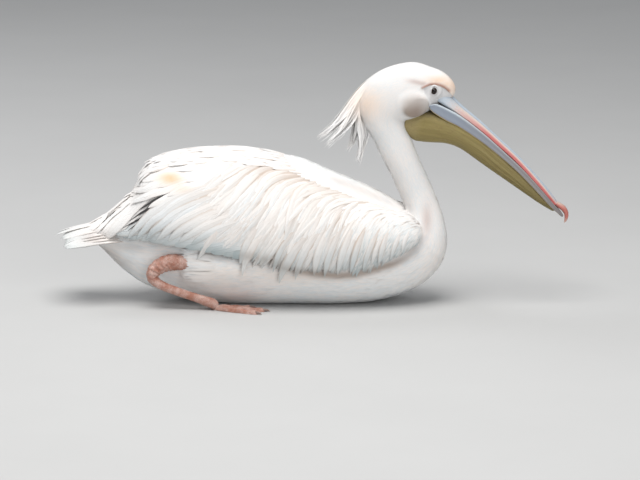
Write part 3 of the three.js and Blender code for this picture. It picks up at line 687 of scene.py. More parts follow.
wing = {
    "overTrunk": 4.0, "unwrap": (-410, 700),  # how far it lies over the trunk; start and length of its unwrap
    "sections": [  # x, top, bottom, half-width, widest place
        (-490, 146, 130, 20, 0.5), (-446, 160, 130, 36, 0.5), (-404, 182, 128, 50, 0.5),
        (-384, 195, 122, 60, 0.5), (-350, 226, 112, 73, 0.52), (-331, 245, 106, 82, 0.53),
        (-305, 293, 100, 90, 0.55), (-270, 317, 86, 106, 0.58), (-200, 331, 70, 128, 0.6),
        (-110, 335, 52, 145, 0.62), (-50, 329, 46, 150, 0.62), (0, 318, 44, 151, 0.62),
        (80, 290, 46, 148, 0.61), (145, 263, 56, 140, 0.6), (205, 235, 74, 127, 0.58),
        (245, 216, 92, 115, 0.56), (270, 196, 112, 102, 0.55), (282, 180, 134, 86, 0.55),
    ],
    "upperEdge": [(-384, 168), (-352, 200), (-330, 238), (-300, 293), (-270, 330), (-66, 330), (-20, 306),
                  (22, 290), (108, 255), (194, 221), (240, 203), (262, 196), (279, 180), (282, 166)],
    "lowerEdge": [(-384, 152), (-340, 158), (-258, 156), (-186, 147), (-142, 138), (-108, 134), (-60, 128),
                  (-24, 115), (12, 104), (60, 100), (100, 98), (140, 103), (182, 115), (216, 124), (240, 132),
                  (272, 147), (282, 158)],
    "headingAt": (-384, -344, -258, -172, -86, 0, 86, 150, 205, 240, 285),
    "heading": (22, 26, 34, 42, 53, 64, 68, 66, 56, 40, 22),  # degrees down from straight back
    "topHeading": 0.42, "fullFrom": 0.4,  # its share at the upper edge, and the way down to its full value
}
wingXs = [row[0] for row in wing["sections"]]
wingTable = [(x, top, x, bottom, half, wide) for x, top, bottom, half, wide in wing["sections"]]


def wingRow(x):
    return np.interp(x, wingXs, np.arange(len(wingXs)))


# How far out the trunk stands at a place in the side view: its half-width times a superellipse of the
# height over or under its widest place.
def trunkSide(x, z):
    rows = np.array(body["sections"][:13], float)
    middle = (rows[:, 0] + rows[:, 2]) / 2
    top, bottom, half, wide = (np.interp(x, middle, rows[:, k]) for k in (1, 3, 4, 5))
    widest = top + (bottom - top) * wide
    up = np.clip((z - widest) / (top - widest), 0, 1)
    down = np.clip((widest - z) / (widest - bottom), 0, 1)
    power = body["powers"][1]
    share = np.where(z > widest, (1 - up ** 2) ** 0.5, (1 - down ** power) ** (1 / power))
    return half * share + body["thigh"]["push"] * thighShare(x, z)


# The outline of the folded wings: a section point whose half-width goes over softly to that of the trunk
# where the trunk stands out further. phi: 0 at the top of the back, pi at the bottom.
def wingPoint(x, phi, side, depth=0.0):
    point = sectionPoint(wingTable, wingRow(x), phi, body["powers"], depth)
    y, z = point[..., 1], point[..., 2]
    out = trunkSide(point[..., 0], z) + wing["overTrunk"] - depth
    over = smooth(0.9, 1.7, phi) * (out - y + 5) / 10
    y = np.where(over > 0, y + 10 * np.where(over < 1, 0.5 * over ** 2, over - 0.5), y)
    return np.stack([point[..., 0], y * side, z], -1) * mm


def phiAt(x, z):  # the angle at which the wing's section reaches a height
    row = spline(wingTable, wingRow(x))
    top, bottom, wide = row[..., 1], row[..., 3], row[..., 5]
    share = np.clip((top - z) / (top - bottom), 0, 1)
    upper = np.clip(1 - share / wide, 0, 1)
    lower = np.clip((share - wide) / (1 - wide), 0, 1)
    c = np.where(share <= wide, upper ** (body["powers"][0] / 2), -(lower ** (body["powers"][1] / 2)))
    return np.arccos(c)


def wingEdges(x):
    return [np.interp(x, *np.array(wing[edge]).T) for edge in ("upperEdge", "lowerEdge")]


def wingLimits(x):
    return [phiAt(x, z) for z in wingEdges(x)]


def wingPlace(x, k):  # k: 0 at the upper edge of the wing, 1 at the lower
    top, bottom = wingLimits(x)
    return top + (bottom - top) * k


def wingUnwrap(x, phi):
    start, length = wing["unwrap"]
    return np.clip(np.stack([(x - start) / length, phi / math.pi], -1), 0.01, 0.99)


wingBase = {
    "from": (-372, -350), "to": (276, 262),  # its ends, and where it has its full thickness
    "outer": 7.0, "inner": 15.0, "edge": 0.08, "columns": 90, "across": 44,
}


# The wing's own body under its feathers: a shell between two insets of the wing outline, closed round
# its edges, where the outer face sinks to the inner one.
def makeWingBase(sideName, side):
    x = np.linspace(wingBase["from"][0], wingBase["to"][0], wingBase["columns"])[:, None]
    there = np.linspace(0, 1, wingBase["across"])
    k = np.concatenate([there, there[::-1]])[None, :]
    outside = np.repeat([1.0, 0.0], wingBase["across"])[None, :]
    rim = smooth(0, wingBase["edge"], k) * smooth(0, wingBase["edge"], 1 - k)
    ends = smooth(*wingBase["from"], x) * smooth(*wingBase["to"], x)
    depth = wingBase["inner"] - (wingBase["inner"] - wingBase["outer"]) * outside * rim * ends
    grid = wingPoint(x, wingPlace(x, k), side, depth)
    marks = {"marks": marksAt(grid).reshape(-1, 4)}
    base = putTube("wingBase_" + sideName, grid, skinLook, marks, outward=side)
    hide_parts(f"wing_{sideName}_coverts", f"wing_{sideName}_tertials")


for sideName, side in sides.items():
    makeWingBase(sideName, side)
print("wing bodies ready")

# The coat of head, neck and trunk. Lists are read against the section number: 0 vent, 12 foot of the neck,
# 20 nape, 30 forehead.
coat = {
    "at": (0, 2, 4, 7, 10, 12, 14, 18, 20, 23, 26, 28, 29.4),
    "length": (66, 56, 44, 38, 32, 26, 19, 14, 13, 12, 9.5, 7, 4.5),
    "halfWidth": (5.6, 5.0, 4.2, 3.6, 3.2, 2.7, 1.9, 1.4, 1.15, 1.0, 0.9, 0.8, 0.7),
    "spacing": (9.5, 8.6, 7.2, 6.2, 5.4, 4.4, 3.3, 2.5, 2.0, 1.8, 1.65, 1.5, 1.4),
    "tipRise": 0.42, "rootRise": 0.05, "camber": 0.08, "headingJitter": 6, "rollJitter": 1.5, "shared": 0.85,
    "rows": 4, "cols": 3, "lowest": 3.0,
    "wingsOver": (-330, 268), "wingsMeet": (-290, -110), "wingEdge": (20, 14),  # no coat under the wings
    "faceEdge": 1.0, "faceOuter": 8, "faceFrom": 23,  # nor on the face: millimetres, and a section number
}


def underWing(x, z):  # where the folded wings cover the trunk, up to its back where they meet
    upper, lower = wingEdges(x)
    met = (x > coat["wingsMeet"][0]) & (x < coat["wingsMeet"][1])
    within = (z > lower + coat["wingEdge"][0]) & (met | (z < upper - coat["wingEdge"][1]))
    return (x > coat["wingsOver"][0]) & (x < coat["wingsOver"][1]) & within


# Short feathers over the skin between two sections. The path follows the skin back towards the vent, and
# rises from the root to near the top of the coat at the tip.
def makeCoat(name, low, high, seed):
    rng = np.random.default_rng(seed)
    us, angles = bodyRoots(low, high, (coat["at"], coat["spacing"]), rng)
    at = skinPoint(us, angles) / mm
    x, y, z = at[..., 0], at[..., 1], at[..., 2]
    onFace = (outlineDistance(body["face"], x, z) < coat["faceEdge"]) & (np.abs(y) > coat["faceOuter"])
    good = (z > coat["lowest"]) & ~underWing(x, z) & ~(onFace & (us > coat["faceFrom"]))
    us, angles = us[good], angles[good]
    count = len(us)
    length = np.interp(us, coat["at"], coat["length"]) * rng.uniform(0.8, 1.2, count)
    half = np.interp(us, coat["at"], coat["halfWidth"]) * rng.uniform(0.85, 1.15, count)
    turn = rng.normal(0, coat["headingJitter"], count)
    path, normals = walkSkin(us, angles, turn, length, coat["rows"])
    depth = coatDepth(us) * rng.uniform(0.75, 1.15, count)

    def lift(t):
        return depth[:, None] * (coat["rootRise"] + coat["tipRise"] * t[None, :]) * mm

    points = vanePoints(path, normals, half * mm, softWidth, lift, coat["camber"], coat["cols"],
                        rng.normal(0, coat["rollJitter"], count))
    piece = putVanes(name, points, bodyUnwrap(us, angles), vaneLook["softPlumage"], rng.uniform(0, 1, count),
                     normals, coat["shared"])


neckTufts = {
    "tufts": 46, "each": 7, "from": 12.8, "to": 19.6, "across": 0.21, "scatter": (0.07, 0.06),
    "turn": (16, 6), "length": 17, "halfWidth": 1.3, "rootRise": 0.8, "tipRise": 2.4, "shared": 0.7,
}


# Loose feathers stand out a little along the back of the neck, in small tufts that share a heading. A tip
# rises as the power 1.6 of the way along.
def makeTufts():
    rng = np.random.default_rng(15)
    tufts, each = neckTufts["tufts"], neckTufts["each"]
    count = tufts * each
    us = np.repeat(rng.uniform(neckTufts["from"], neckTufts["to"], tufts), each)
    angles = np.repeat(rng.normal(0, neckTufts["across"], tufts), each)
    us = us + rng.normal(0, neckTufts["scatter"][0], count)
    angles = (angles + rng.normal(0, neckTufts["scatter"][1], count)) % fullTurn
    turn = np.repeat(rng.normal(0, neckTufts["turn"][0], tufts), each)
    turn = turn + rng.normal(0, neckTufts["turn"][1], count)
    length = neckTufts["length"] * rng.uniform(0.7, 1.25, count)
    path, normals = walkSkin(us, angles, turn, length, 6)
    tips = np.repeat(rng.uniform(0.3, 1.0, tufts), each) * rng.uniform(0.7, 1.2, count)

    def lift(t):
        return (neckTufts["rootRise"] + neckTufts["tipRise"] * tips[:, None] * t[None, :] ** 1.6) * mm

    points = vanePoints(path, normals, neckTufts["halfWidth"] * rng.uniform(0.7, 1.2, count) * mm,
                        lambda t: leafWidth(t, 0.35, 0.9), lift, 0.2, 3, rng.normal(0, 8, count))
    piece = putVanes("neckTufts", points, bodyUnwrap(us, angles), vaneLook["loosePlumage"],
                     rng.uniform(0, 0.6, count), normals, neckTufts["shared"])


thighFeathers = {
    "sections": (3.4, 6.4), "spacing": 5.4, "x": (-216, -150), "z": (68, 128), "out": 60,  # where they root
    "length": (18, 60), "fan": 0.25, "halfWidth": (2.6, 3.8), "rootRise": 0.4, "slope": 0.15, "shared": 0.7,
}


# Longer feathers of the thigh lie over the top of the bare leg, fanned by their height.
def makeThighFeathers():
    look = thighFeathers
    rng = np.random.default_rng(16)
    us, angles = bodyRoots(*look["sections"], ((0, 30), (look["spacing"], look["spacing"])), rng)
    at = skinPoint(us, angles) / mm
    x, y, z = at[..., 0], at[..., 1], at[..., 2]
    good = (z > look["z"][0]) & (z < look["z"][1]) & (x > look["x"][0]) & (x < look["x"][1])
    good &= np.abs(y) > look["out"]
    us, angles, x, z = us[good], angles[good], x[good], z[good]
    count = len(us)
    length = np.clip(x - look["x"][0] + 10, *look["length"]) + rng.uniform(-2, 9, count)
    turn = (sum(look["z"]) / 2 - z) * look["fan"] + rng.normal(0, 4, count)
    path, normals = walkSkin(us, angles, turn, length, 6)

    def lift(t):
        return (look["rootRise"] + look["slope"] * length[:, None] * t[None, :]) * mm

    points = vanePoints(path, normals, rng.uniform(*look["halfWidth"], count) * mm, softWidth, lift, 0.2, 3,
                        rng.normal(0, 4, count))
    piece = putVanes("thighFeathers", points, bodyUnwrap(us, angles), vaneLook["softPlumage"],
                     rng.uniform(0, 1, count), normals, look["shared"])


makeCoat("coatCrown", 24.4, 29.5, 10)  # first and last section, seed
makeCoat("coatNape", 19.9, 24.5, 11)
makeCoat("coatNeck", 12.6, 20.0, 12)
makeTufts()
makeCoat("coatBreast", 6.0, 12.7, 13)
makeCoat("coatRear", 0.05, 6.1, 14)
makeThighFeathers()
print("coat ready")

covert = {
    "at": (-130, -86, 0, 86, 150, 205, 240, 284),  # place along the bird
    "length": (150, 150, 146, 128, 98, 62, 40, 22),
    "halfWidth": (9.0, 8.8, 8.2, 7.4, 5.6, 4.0, 3.0, 2.2),
    "rows": np.linspace(0.0, 0.9, 12), "spread": 1.12, "skinDepth": 5.0, "first": -128, "last": 281,
    "rootRise": -0.5, "slope": 0.034, "camber": 0.42, "overhang": 20.0, "shortest": 14, "curl": 7.0,
    "stray": 0.12, "strayRise": (0.6, 1.6),  # this share of them stands up a little
    "flattest": 20, "widest": 0.16,  # least heading, in degrees, and half-width against the length
}


def wingHeading(x, phi):
    base = np.interp(x, wing["headingAt"], wing["heading"])
    top, bottom = wingLimits(x)
    k = np.clip((phi - top) / (bottom - top), 0, 1)
    return base * (wing["topHeading"] + (1 - wing["topHeading"]) * smooth(0, wing["fullFrom"], k))


def staggered(rows, first, stop, shift, step):  # x and row of roots, every other row shifted
    xs, ks = [], []
    for number, k in enumerate(rows):
        x = first + shift * (number % 2)
        while x < stop:
            xs.append(x)
            ks.append(k)
            x += step(x)
    return np.array(xs), np.array(ks)


# Lays wing feathers from roots (x, phi) back and down over the wing, higher at the tip than at the root, so
# that each lies over the ones below and behind it.
def layWing(name, side, x, phi, length, half, look, rng, rise, turn, rows=9, cols=5, camber=covert["camber"],
            rollJitter=5.0, curl=0.0, shared=0.3):
    count = len(x)
    path, normals = walkVanes(
        lambda f, s: wingPoint(f, s, side, covert["skinDepth"]), x, phi,
        lambda f, s, t: wingHeading(f, s) + turn + curl * t, length * mm, rows, normalSign=side)

    def lift(t):
        return (rise[:, None] + covert["slope"] * length[:, None] * t[None, :]) * mm

    ragged = 1 + rng.normal(0, 0.05, (count, rows))
    points = vanePoints(path, normals, half * mm, leafWidth, lift, camber, cols,
                        rng.normal(0, rollJitter, count), ragged)
    piece = putVanes(name, points, wingUnwrap(x, phi), vaneLook[look], rng.uniform(0, 1, count), normals,
                     shared)


# Coverts: each is as long as the table says, or as the way down to the wing's lower edge along its heading
# and a little over it.
def makeCoverts(sideName, side):
    rng = np.random.default_rng(20 + side)
    x, k = staggered(covert["rows"], covert["first"], covert["last"] + 5, 6,
                     lambda x: np.interp(x, covert["at"], covert["halfWidth"]) * covert["spread"])
    x = np.clip(x + rng.uniform(-3, 3, len(x)), covert["first"], covert["last"])
    k = np.clip(k + rng.uniform(-0.03, 0.03, len(x)), 0, 0.95)
    phi = wingPlace(x, k)
    low = wingPoint(x, wingLimits(x)[1], side)
    drop = np.linalg.norm(low - wingPoint(x, phi, side), axis=-1) / mm
    steep = np.sin(np.radians(np.maximum(wingHeading(x, phi), covert["flattest"])))
    length = np.interp(x, covert["at"], covert["length"]) * rng.uniform(0.85, 1.12, len(x))
    length = np.minimum(length, drop / steep + covert["overhang"] * rng.uniform(0.4, 1.3, len(x)))
    good = length > covert["shortest"]
    half = np.interp(x, covert["at"], covert["halfWidth"]) * rng.uniform(0.85, 1.15, len(x))
    half = np.minimum(half, length * covert["widest"])
    stray = (rng.uniform(0, 1, len(x)) < covert["stray"]) * rng.uniform(*covert["strayRise"], len(x))
    rise = covert["rootRise"] + stray
    turn = rng.normal(0, 4, len(x)) + stray * rng.normal(0, 5, len(x))
    layWing("coverts_" + sideName, side, x[good], phi[good], length[good], half[good], "wingPlumage", rng,
            rise[good], turn[good], curl=covert["curl"], rollJitter=7.0)


wrist = {
    "from": 150, "to": 284, "rows": np.linspace(0, 0.97, 19), "spacing": (6.0, 3.6), "last": 281.5,
    "at": (150, 205, 240, 284), "length": (48, 38, 27, 15), "halfWidth": (4.0, 1.9), "rise": 1.8,
    "camber": 0.3,
}


# Small feathers crowd round the wrist, at the front of the wing.
def makeWrist(sideName, side):
    rng = np.random.default_rng(40 + side)
    ends = (wrist["from"], wrist["to"])
    x, k = staggered(wrist["rows"], *ends, 3, lambda x: np.interp(x, ends, wrist["spacing"]))
    x = x + rng.uniform(-1.5, 1.5, len(x))
    k = np.clip(k + rng.uniform(-0.02, 0.02, len(x)), 0, 1)
    x = np.minimum(x, wrist["last"])
    length = np.interp(x, wrist["at"], wrist["length"]) * rng.uniform(0.8, 1.2, len(x))
    half = np.interp(x, ends, wrist["halfWidth"]) * rng.uniform(0.85, 1.15, len(x))
    layWing("wrist_" + sideName, side, x, wingPlace(x, k), length, half, "wristPlumage", rng,
            np.full(len(x), wrist["rise"]), rng.normal(0, 7, len(x)), 6, 3, wrist["camber"], shared=0.55)


# Single long feathers drawn in the side view: a straight line from a root x z to a tip x z, bowed up by sag
# times 4t(1 - t), half-width, and how far root and tip stand off the wing. Their depth follows the wing.
def sidePlumes(name, side, rows, look, rng, shape, count=18, cols=7, camber=0.30, slotName="plumage",
               tone=(0.0, 1.0), stiff=0.0, reach=1.0):
    rows = np.array(rows, float)
    t = np.linspace(0, reach, count)
    rootX, rootZ, tipX, tipZ, sag, half, rise, fall = rows.T[..., None]
    x = rootX + (tipX - rootX) * t
    z = rootZ + (tipZ - rootZ) * t
    length = np.hypot(tipX - rootX, tipZ - rootZ)
    bow = sag * 4 * t * (1 - t)
    x = x - bow * (rootZ - tipZ) / length
    z = z + bow * (rootX - tipX) / length
    phi = phiAt(x, z)
    small = 1e-3
    path, further, lower = (wingPoint(x + dx, phi + turn, side, covert["skinDepth"])
                            for dx, turn in ((0, 0), (small, 0), (0, small)))
    normals = unit(np.cross((further - path) / small, (lower - path) / small)) * side
    path = stiffen(path, stiff)

    def lift(share):
        return (rise + (fall - rise) * share[None, :]) * mm

    ragged = 1 + rng.normal(0, 0.035, x.shape)
    points = vanePoints(path, normals, half[:, 0] * mm, shape, lift, camber, cols,
                        rng.normal(0, 5, len(rows)), ragged)
    piece = putVanes(name, points, wingUnwrap(rows[:, 0], phi[:, 0]), vaneLook[look],
                     rng.uniform(*tone, len(rows)), normals, 0.45)
    return piece


plumes = {
    # root x z, tip x z, sag, half-width, rise at root and at tip
    "hanging": [
        (262, 188, 236, 128, 3, 5.0, 0, 5), (246, 190, 212, 114, 4, 6.0, 0, 5),
        (222, 196, 186, 102, 5, 7.0, 0, 6), (200, 200, 156, 92, 6, 7.6, 0, 6),
        (176, 206, 128, 88, 7, 8.2, 0, 7), (150, 208, 100, 86, 8, 8.6, 0, 7),
        (126, 208, 74, 82, 9, 9.0, 0, 7), (100, 206, 52, 86, 10, 9.0, 0, 8),
        (84, 200, 16, 78, 12, 9.4, 0, 8), (72, 190, -18, 70, 16, 11.5, 0, 9),
        (44, 206, -34, 96, 12, 8.0, 0, 8), (40, 200, -7, 104, 8, 6.6, 0, 7),
        (-20, 196, -101, 87, 18, 9.6, 0, 9), (-44, 208, -104, 111, 12, 9.0, 0, 8),
        (160, 202, 114, 94, 6, 7.0, 0, 5), (112, 200, 60, 96, 8, 7.4, 0, 5),
        (76, 196, 6, 100, 8, 7.4, 0, 5), (30, 200, -60, 112, 10, 8.0, 0, 5),
        (-4, 206, -84, 122, 12, 8.0, 0, 5), (208, 190, 172, 104, 4, 6.0, 0, 5),
    ],
    "secondaries": [
        (-210, 205, -376, 160, -6, 12, 0.5, 3.0), (-190, 204, -350, 152, -6, 12, 0.5, 3.2),
        (-166, 202, -324, 148, -6, 12, 0.5, 3.4), (-142, 200, -300, 146, -6, 12.5, 0.5, 3.6),
        (-118, 198, -274, 144, -6, 12.5, 0.5, 3.8), (-94, 195, -248, 142, -6, 12.5, 0.5, 4.0),
        (-70, 190, -222, 138, -6, 12.5, 0.5, 4.2), (-48, 184, -196, 135, -6, 12.5, 0.5, 4.4),
        (-30, 178, -170, 131, -6, 12.5, 0.5, 4.6), (-14, 172, -148, 128, -5, 12, 0.5, 4.8),
        (0, 164, -128, 122, -4, 11, 0.5, 5.0),
    ],
    "tertials": [
        (-50, 208, -208, 144, 14, 11, 0.5, 5.6), (-62, 220, -232, 147, 17, 11, 0.5, 6.0),
        (-74, 232, -256, 148, 20, 11.5, 0.6, 6.4), (-82, 246, -280, 148, 23, 12, 0.7, 6.8),
        (-90, 260, -304, 148, 26, 12, 0.8, 7.2), (-96, 274, -326, 148, 29, 12, 0.9, 7.6),
        (-104, 284, -345, 147, 31, 11, 1.0, 8.0), (-70, 240, -222, 168, 16, 9, 0.4, 6.4),
        (-84, 262, -254, 180, 20, 9, 0.4, 6.8), (-96, 282, -284, 192, 22, 9, 0.4, 7.2),
    ],
    "scapulars": [
        (-118, 304, -338, 220, 12, 11.5, 0.6, 3.0), (-126, 310, -326, 244, 10, 12, 0.8, 3.2),
        (-134, 316, -318, 266, 9, 12.5, 1.0, 3.4), (-140, 321, -308, 288, 8, 12.5, 1.0, 3.4),
        (-130, 325, -296, 304, 5, 12.5, 1.0, 3.4), (-112, 327, -264, 319, 3, 12, 1.0, 4.0),
        (-96, 312, -276, 260, 10, 11.5, 0.8, 4.6), (-84, 303, -254, 242, 12, 11.5, 0.8, 4.8),
        (-90, 318, -232, 294, 6, 11, 1.4, 4.8), (-74, 312, -218, 274, 8, 11, 1.4, 5.0),
        (-110, 298, -312, 232, 12, 11, 0.8, 4.0), (-104, 290, -296, 214, 14, 11, 0.8, 4.4),
        (-170, 322, -316, 299, 4, 12, 1.6, 2.6), (-178, 314, -325, 285, 5, 12, 1.6, 2.6),
        (-190, 300, -331, 257, 6, 12, 1.6, 2.6), (-182, 306, -327, 270, 6, 12, 1.6, 2.6),
        (-120, 322, -262, 290, 4, 12, 0.4, 2.4), (-116, 314, -276, 274, 5, 12, 0.4, 2.4),
        (-196, 286, -336, 243, 6, 12, 1.2, 2.6), (-110, 306, -268, 252, 6, 12, 0.4, 2.4),
    ],
    "quills": [
        (-226, 262, -374, 158, 4, 6.5, 0.6, 2.2), (-230, 256, -368, 152, 4, 6.5, 0.8, 2.4),
        (-234, 249, -362, 149, 4, 6.5, 1.0, 2.6), (-238, 242, -356, 147, 4, 6.5, 1.2, 2.8),
        (-242, 235, -350, 147, 4, 6.5, 1.4, 3.0), (-248, 227, -344, 150, 4, 6.5, 1.6, 3.2),
    ],
    "remiges": [
        (-226, 267, -332, 204, 2, 2.8, 3.2, 4.4), (-232, 260, -342, 186, 2, 3.4, 3.4, 4.6),
        (-240, 250, -340, 176, 2, 1.8, 3.4, 4.6), (-282, 212, -357, 170, 1, 2.0, 4.0, 4.6),
        (-262, 228, -348, 162, 1, 1.6, 3.8, 4.8),
    ],
    "rumpPlumes": [
        (-276, 292, -436, 170, 0, 15, -2.0, 0.4), (-272, 288, -428, 162, 0, 15, -2.0, 0.4),
        (-268, 284, -418, 155, 0, 15, -2.0, 0.4), (-262, 280, -406, 150, 0, 15, -2.0, 0.6),
        (-256, 276, -394, 148, 0, 14, -2.0, 0.8), (-262, 268, -384, 152, 0, 13, -2.0, 0.6),
        (-236, 334, -350, 238, 36, 13, -1.5, 0.0), (-252, 328, -366, 220, 34, 13, -2.0, -0.5),
        (-262, 322, -352, 240, 16, 12, -1.5, 0.0),
        (-275, 290, -442, 166, 3, 11.0, 1.6, 3.2), (-270, 287, -433, 158, 4, 12.0, 1.8, 3.4),
        (-267, 285, -419, 151, 4, 12.0, 2.0, 3.6), (-263, 283, -406, 146, 4, 12.0, 2.2, 3.8),
        (-259, 282, -394, 144, 4, 12.0, 2.4, 4.2), (-256, 281, -385, 146, 4, 9.0, 3.0, 5.0),
        (-272, 288, -438, 161, 6, 11.0, 2.4, 4.0), (-268, 286, -426, 154, 7, 11.0, 2.6, 4.4),
        (-292, 276, -446, 164, 5, 11, 0.8, 2.4), (-312, 256, -452, 160, 4, 11, 0.6, 2.2),
        (-332, 236, -460, 152, 3, 11, 0.5, 2.2), (-350, 214, -466, 148, 3, 10, 0.4, 2.2),
    ],
    "upperTail": [
        (-372, 172, -428, 143, 1, 5.0, 2.0, 4.0), (-378, 178, -440, 148, 1, 5.0, 2.2, 4.6),
        (-366, 166, -414, 140, 1, 4.5, 2.0, 3.8), (-384, 184, -452, 152, 1, 5.0, 2.0, 5.0),
        (-362, 160, -404, 138, 1, 4.0, 2.0, 3.4), (-388, 180, -434, 156, 1, 4.5, 3.6, 5.6),
        (-396, 176, -462, 146, 1, 5.0, 1.6, 4.0), (-380, 166, -420, 149, 1, 4.0, 3.2, 5.0),
    ],
}


def makeWing(sideName, side):
    rng = np.random.default_rng(60 + side)

    def lay(name, look, shape, **settings):
        return sidePlumes(f"{name}_{sideName}", side, plumes[name], look, rng, shape, **settings)

    lay("quills", "secondaryPlumage", spatulaWidth, camber=0.16, tone=(0.5, 0.9))
    remiges = lay("remiges", "darkQuills", leafWidth, slotName="flight_feathers")
    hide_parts(f"wing_{sideName}_remiges")
    lay("secondaries", "secondaryPlumage", spatulaWidth, camber=0.16, tone=(0.6, 1.0))
    makeCoverts(sideName, side)
    lay("tertials", "secondaryPlumage", bladeWidth, tone=(0.35, 0.95))
    lay("rumpPlumes", "quillPlumage", bladeWidth, camber=0.2, tone=(0.0, 0.3), stiff=0.1)
    lay("upperTail", "quillPlumage", bladeWidth, count=14, cols=5)
    lay("scapulars", "quillPlumage", bladeWidth, camber=0.2, tone=(0.0, 0.4), stiff=0.12)
    lay("hanging", "wingPlumage", lockWidth, reach=1.06)
    makeWrist(sideName, side)


for sideName, side in sides.items():
    makeWing(sideName, side)

backPlumes = {
    "from": -296, "to": 44, "spacing": 12.0, "across": 0.085, "stopBefore": -334,
    "lengthAt": (-300, -200, -40, 40), "length": (66, 78, 64, 46),
    "halfAt": (-300, -40, 40), "halfWidth": (8.0, 6.5, 4.5),
    "stiffOnes": 12, "stiffFrom": (-252, -196), "stiffAcross": 0.6, "stiffLength": (56, 72),
    "stiffHalf": (8.0, 10.0), "stiffness": (0.2, 0.6), "fan": 0.35, "shortest": 30,
    "liftAt": (-120, 0, 44), "lift": (3.0, 0.5, -2.5), "slope": 0.05, "camber": 0.2, "shared": 0.5,
}


# Feathers of the middle of the back lie over the slit between the folded wings. A few stiff ones stand out
# behind.
def makeBackPlumes():
    look = backPlumes
    rng = np.random.default_rng(70)
    starts = np.arange(look["from"], look["to"], look["spacing"])
    across = np.arange(-5, 6)[None, :] + 0.5 * (np.arange(len(starts)) % 2)[:, None]
    x = np.repeat(starts, across.shape[1]) + rng.uniform(-4, 4, across.size)
    phi = across.reshape(-1) * look["across"] + rng.uniform(-0.02, 0.02, across.size)
    length = np.interp(x, look["lengthAt"], look["length"]) * rng.uniform(0.85, 1.15, len(x))
    half = np.interp(x, look["halfAt"], look["halfWidth"]) * rng.uniform(0.9, 1.1, len(x))
    turn = np.degrees(phi) * look["fan"] + rng.normal(0, 4, len(x))
    length = np.minimum(length, np.maximum(x - look["stopBefore"], look["shortest"]))
    extra = look["stiffOnes"]
    x = np.concatenate([x, rng.uniform(*look["stiffFrom"], extra)])
    phi = np.concatenate([phi, rng.uniform(-look["stiffAcross"], look["stiffAcross"], extra)])
    length = np.concatenate([length, rng.uniform(*look["stiffLength"], extra)])
    half = np.concatenate([half, rng.uniform(*look["stiffHalf"], extra)])
    turn = np.concatenate([turn, rng.normal(0, 3, extra)])
    path, normals = walkVanes(lambda f, s: wingPoint(f, s, 1, covert["skinDepth"]), x, phi,
                              lambda f, s, t: turn, length * mm, 9)
    path = stiffen(path, np.repeat(look["stiffness"], (len(x) - extra, extra))[:, None, None])
    start = np.interp(x, look["liftAt"], look["lift"])

    def lift(t):
        return (start[:, None] + look["slope"] * length[:, None] * t[None, :]) * mm

    points = vanePoints(path, normals, half * mm, bladeWidth, lift, look["camber"], 5,
                        rng.normal(0, 3, len(x)))
    piece = putVanes("backPlumes", points, wingUnwrap(x, phi + math.pi / 2), vaneLook["wingPlumage"],
                     rng.uniform(0, 0.5, len(x)), normals, look["shared"])


makeBackPlumes()
print("wings ready")

tail = {
    "root": (-326, 180), "length": 177, "ragged": (-15, 3), "feathers": 22, "spread": 17, "rootHalf": 40,
    "slope": -0.15, "droop": 12, "arch": (38, 14), "rounding": 0.09, "halfWidth": 12.5, "stack": 4.5,
    "rows": 20, "tilt": 0.5, "camber": 0.12,
}


# Each tail feather runs straight back from its place on the root, fanned by its share of the spread, and
# sinks by slope, arch and a droop that grows as the fourth power of the way along.
def makeTail():
    rng = np.random.default_rng(5)
    share = np.linspace(-1, 1, tail["feathers"])[:, None]
    t = np.linspace(0, 1, tail["rows"])[None, :]
    length = tail["length"] + rng.uniform(*tail["ragged"], share.shape)
    reach = t * length * (1 - tail["rounding"] * share ** 2)
    turn = np.radians(tail["spread"]) * share
    hang = share ** 2 * (tail["arch"][0] + (tail["arch"][1] - tail["arch"][0]) * t) + tail["droop"] * t ** 4
    x = tail["root"][0] - reach * np.cos(turn)
    y = share * tail["rootHalf"] + reach * np.sin(turn)
    z = tail["root"][1] + tail["slope"] * reach - hang + tail["stack"] * (1 - np.abs(share))
    path = np.stack([x, y, z], -1) * mm
    ahead = unit(np.gradient(path, axis=1))
    tilt = np.stack([np.zeros_like(x), tail["tilt"] * share + 0 * x, np.ones_like(x)], -1)
    normals = unit(tilt - ahead * (tilt * ahead).sum(-1, keepdims=True))
    points = vanePoints(path, normals, np.full(tail["feathers"], tail["halfWidth"] * mm),
                        lambda t: leafWidth(t, 0.72, 0.6), lambda t: np.zeros((1, len(t))), tail["camber"], 7,
                        rng.normal(0, 4, tail["feathers"]), 1 + rng.normal(0, 0.03, x.shape))
    roots = np.stack([0.5 + 0.4 * share[:, 0], np.full(tail["feathers"], 0.5)], -1)
    piece = putVanes("tailFeathers", points, roots, vaneLook["secondaryPlumage"],
                     rng.uniform(0, 0.5, tail["feathers"]))
    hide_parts("tail")


makeTail()
print("tail ready")

crest = {
    "tips": [  # where each lock ends, and its share of the plumes
        (57, 6, 350, 0.20), (76, -8, 336, 0.22), (92, 2, 354, 0.14), (122, 6, 322, 0.18),
        (142, -4, 298, 0.16), (108, -2, 386, 0.10),
    ],
    "plumes": 760, "halfWidth": 1.4, "rows": 16, "rootFrom": (20.5, 23.6), "rootAcross": 0.5,
    "parting": 0.25, "partWidth": 2.5, "tipSpread": 3.2, "shortest": 0.62, "behind": 57,  # the furthest back
    "lie": 0.40, "hang": 0.34, "flare": (-0.35, 0, 0.15), "facing": (-0.3, 0, 0.6), "ownFacing": 0.6,
    "rootSpread": 0.45, "shortLift": (18.0, 0, 12.0), "outward": (-0.45, 0, 0.45), "sideways": 1.2,
}


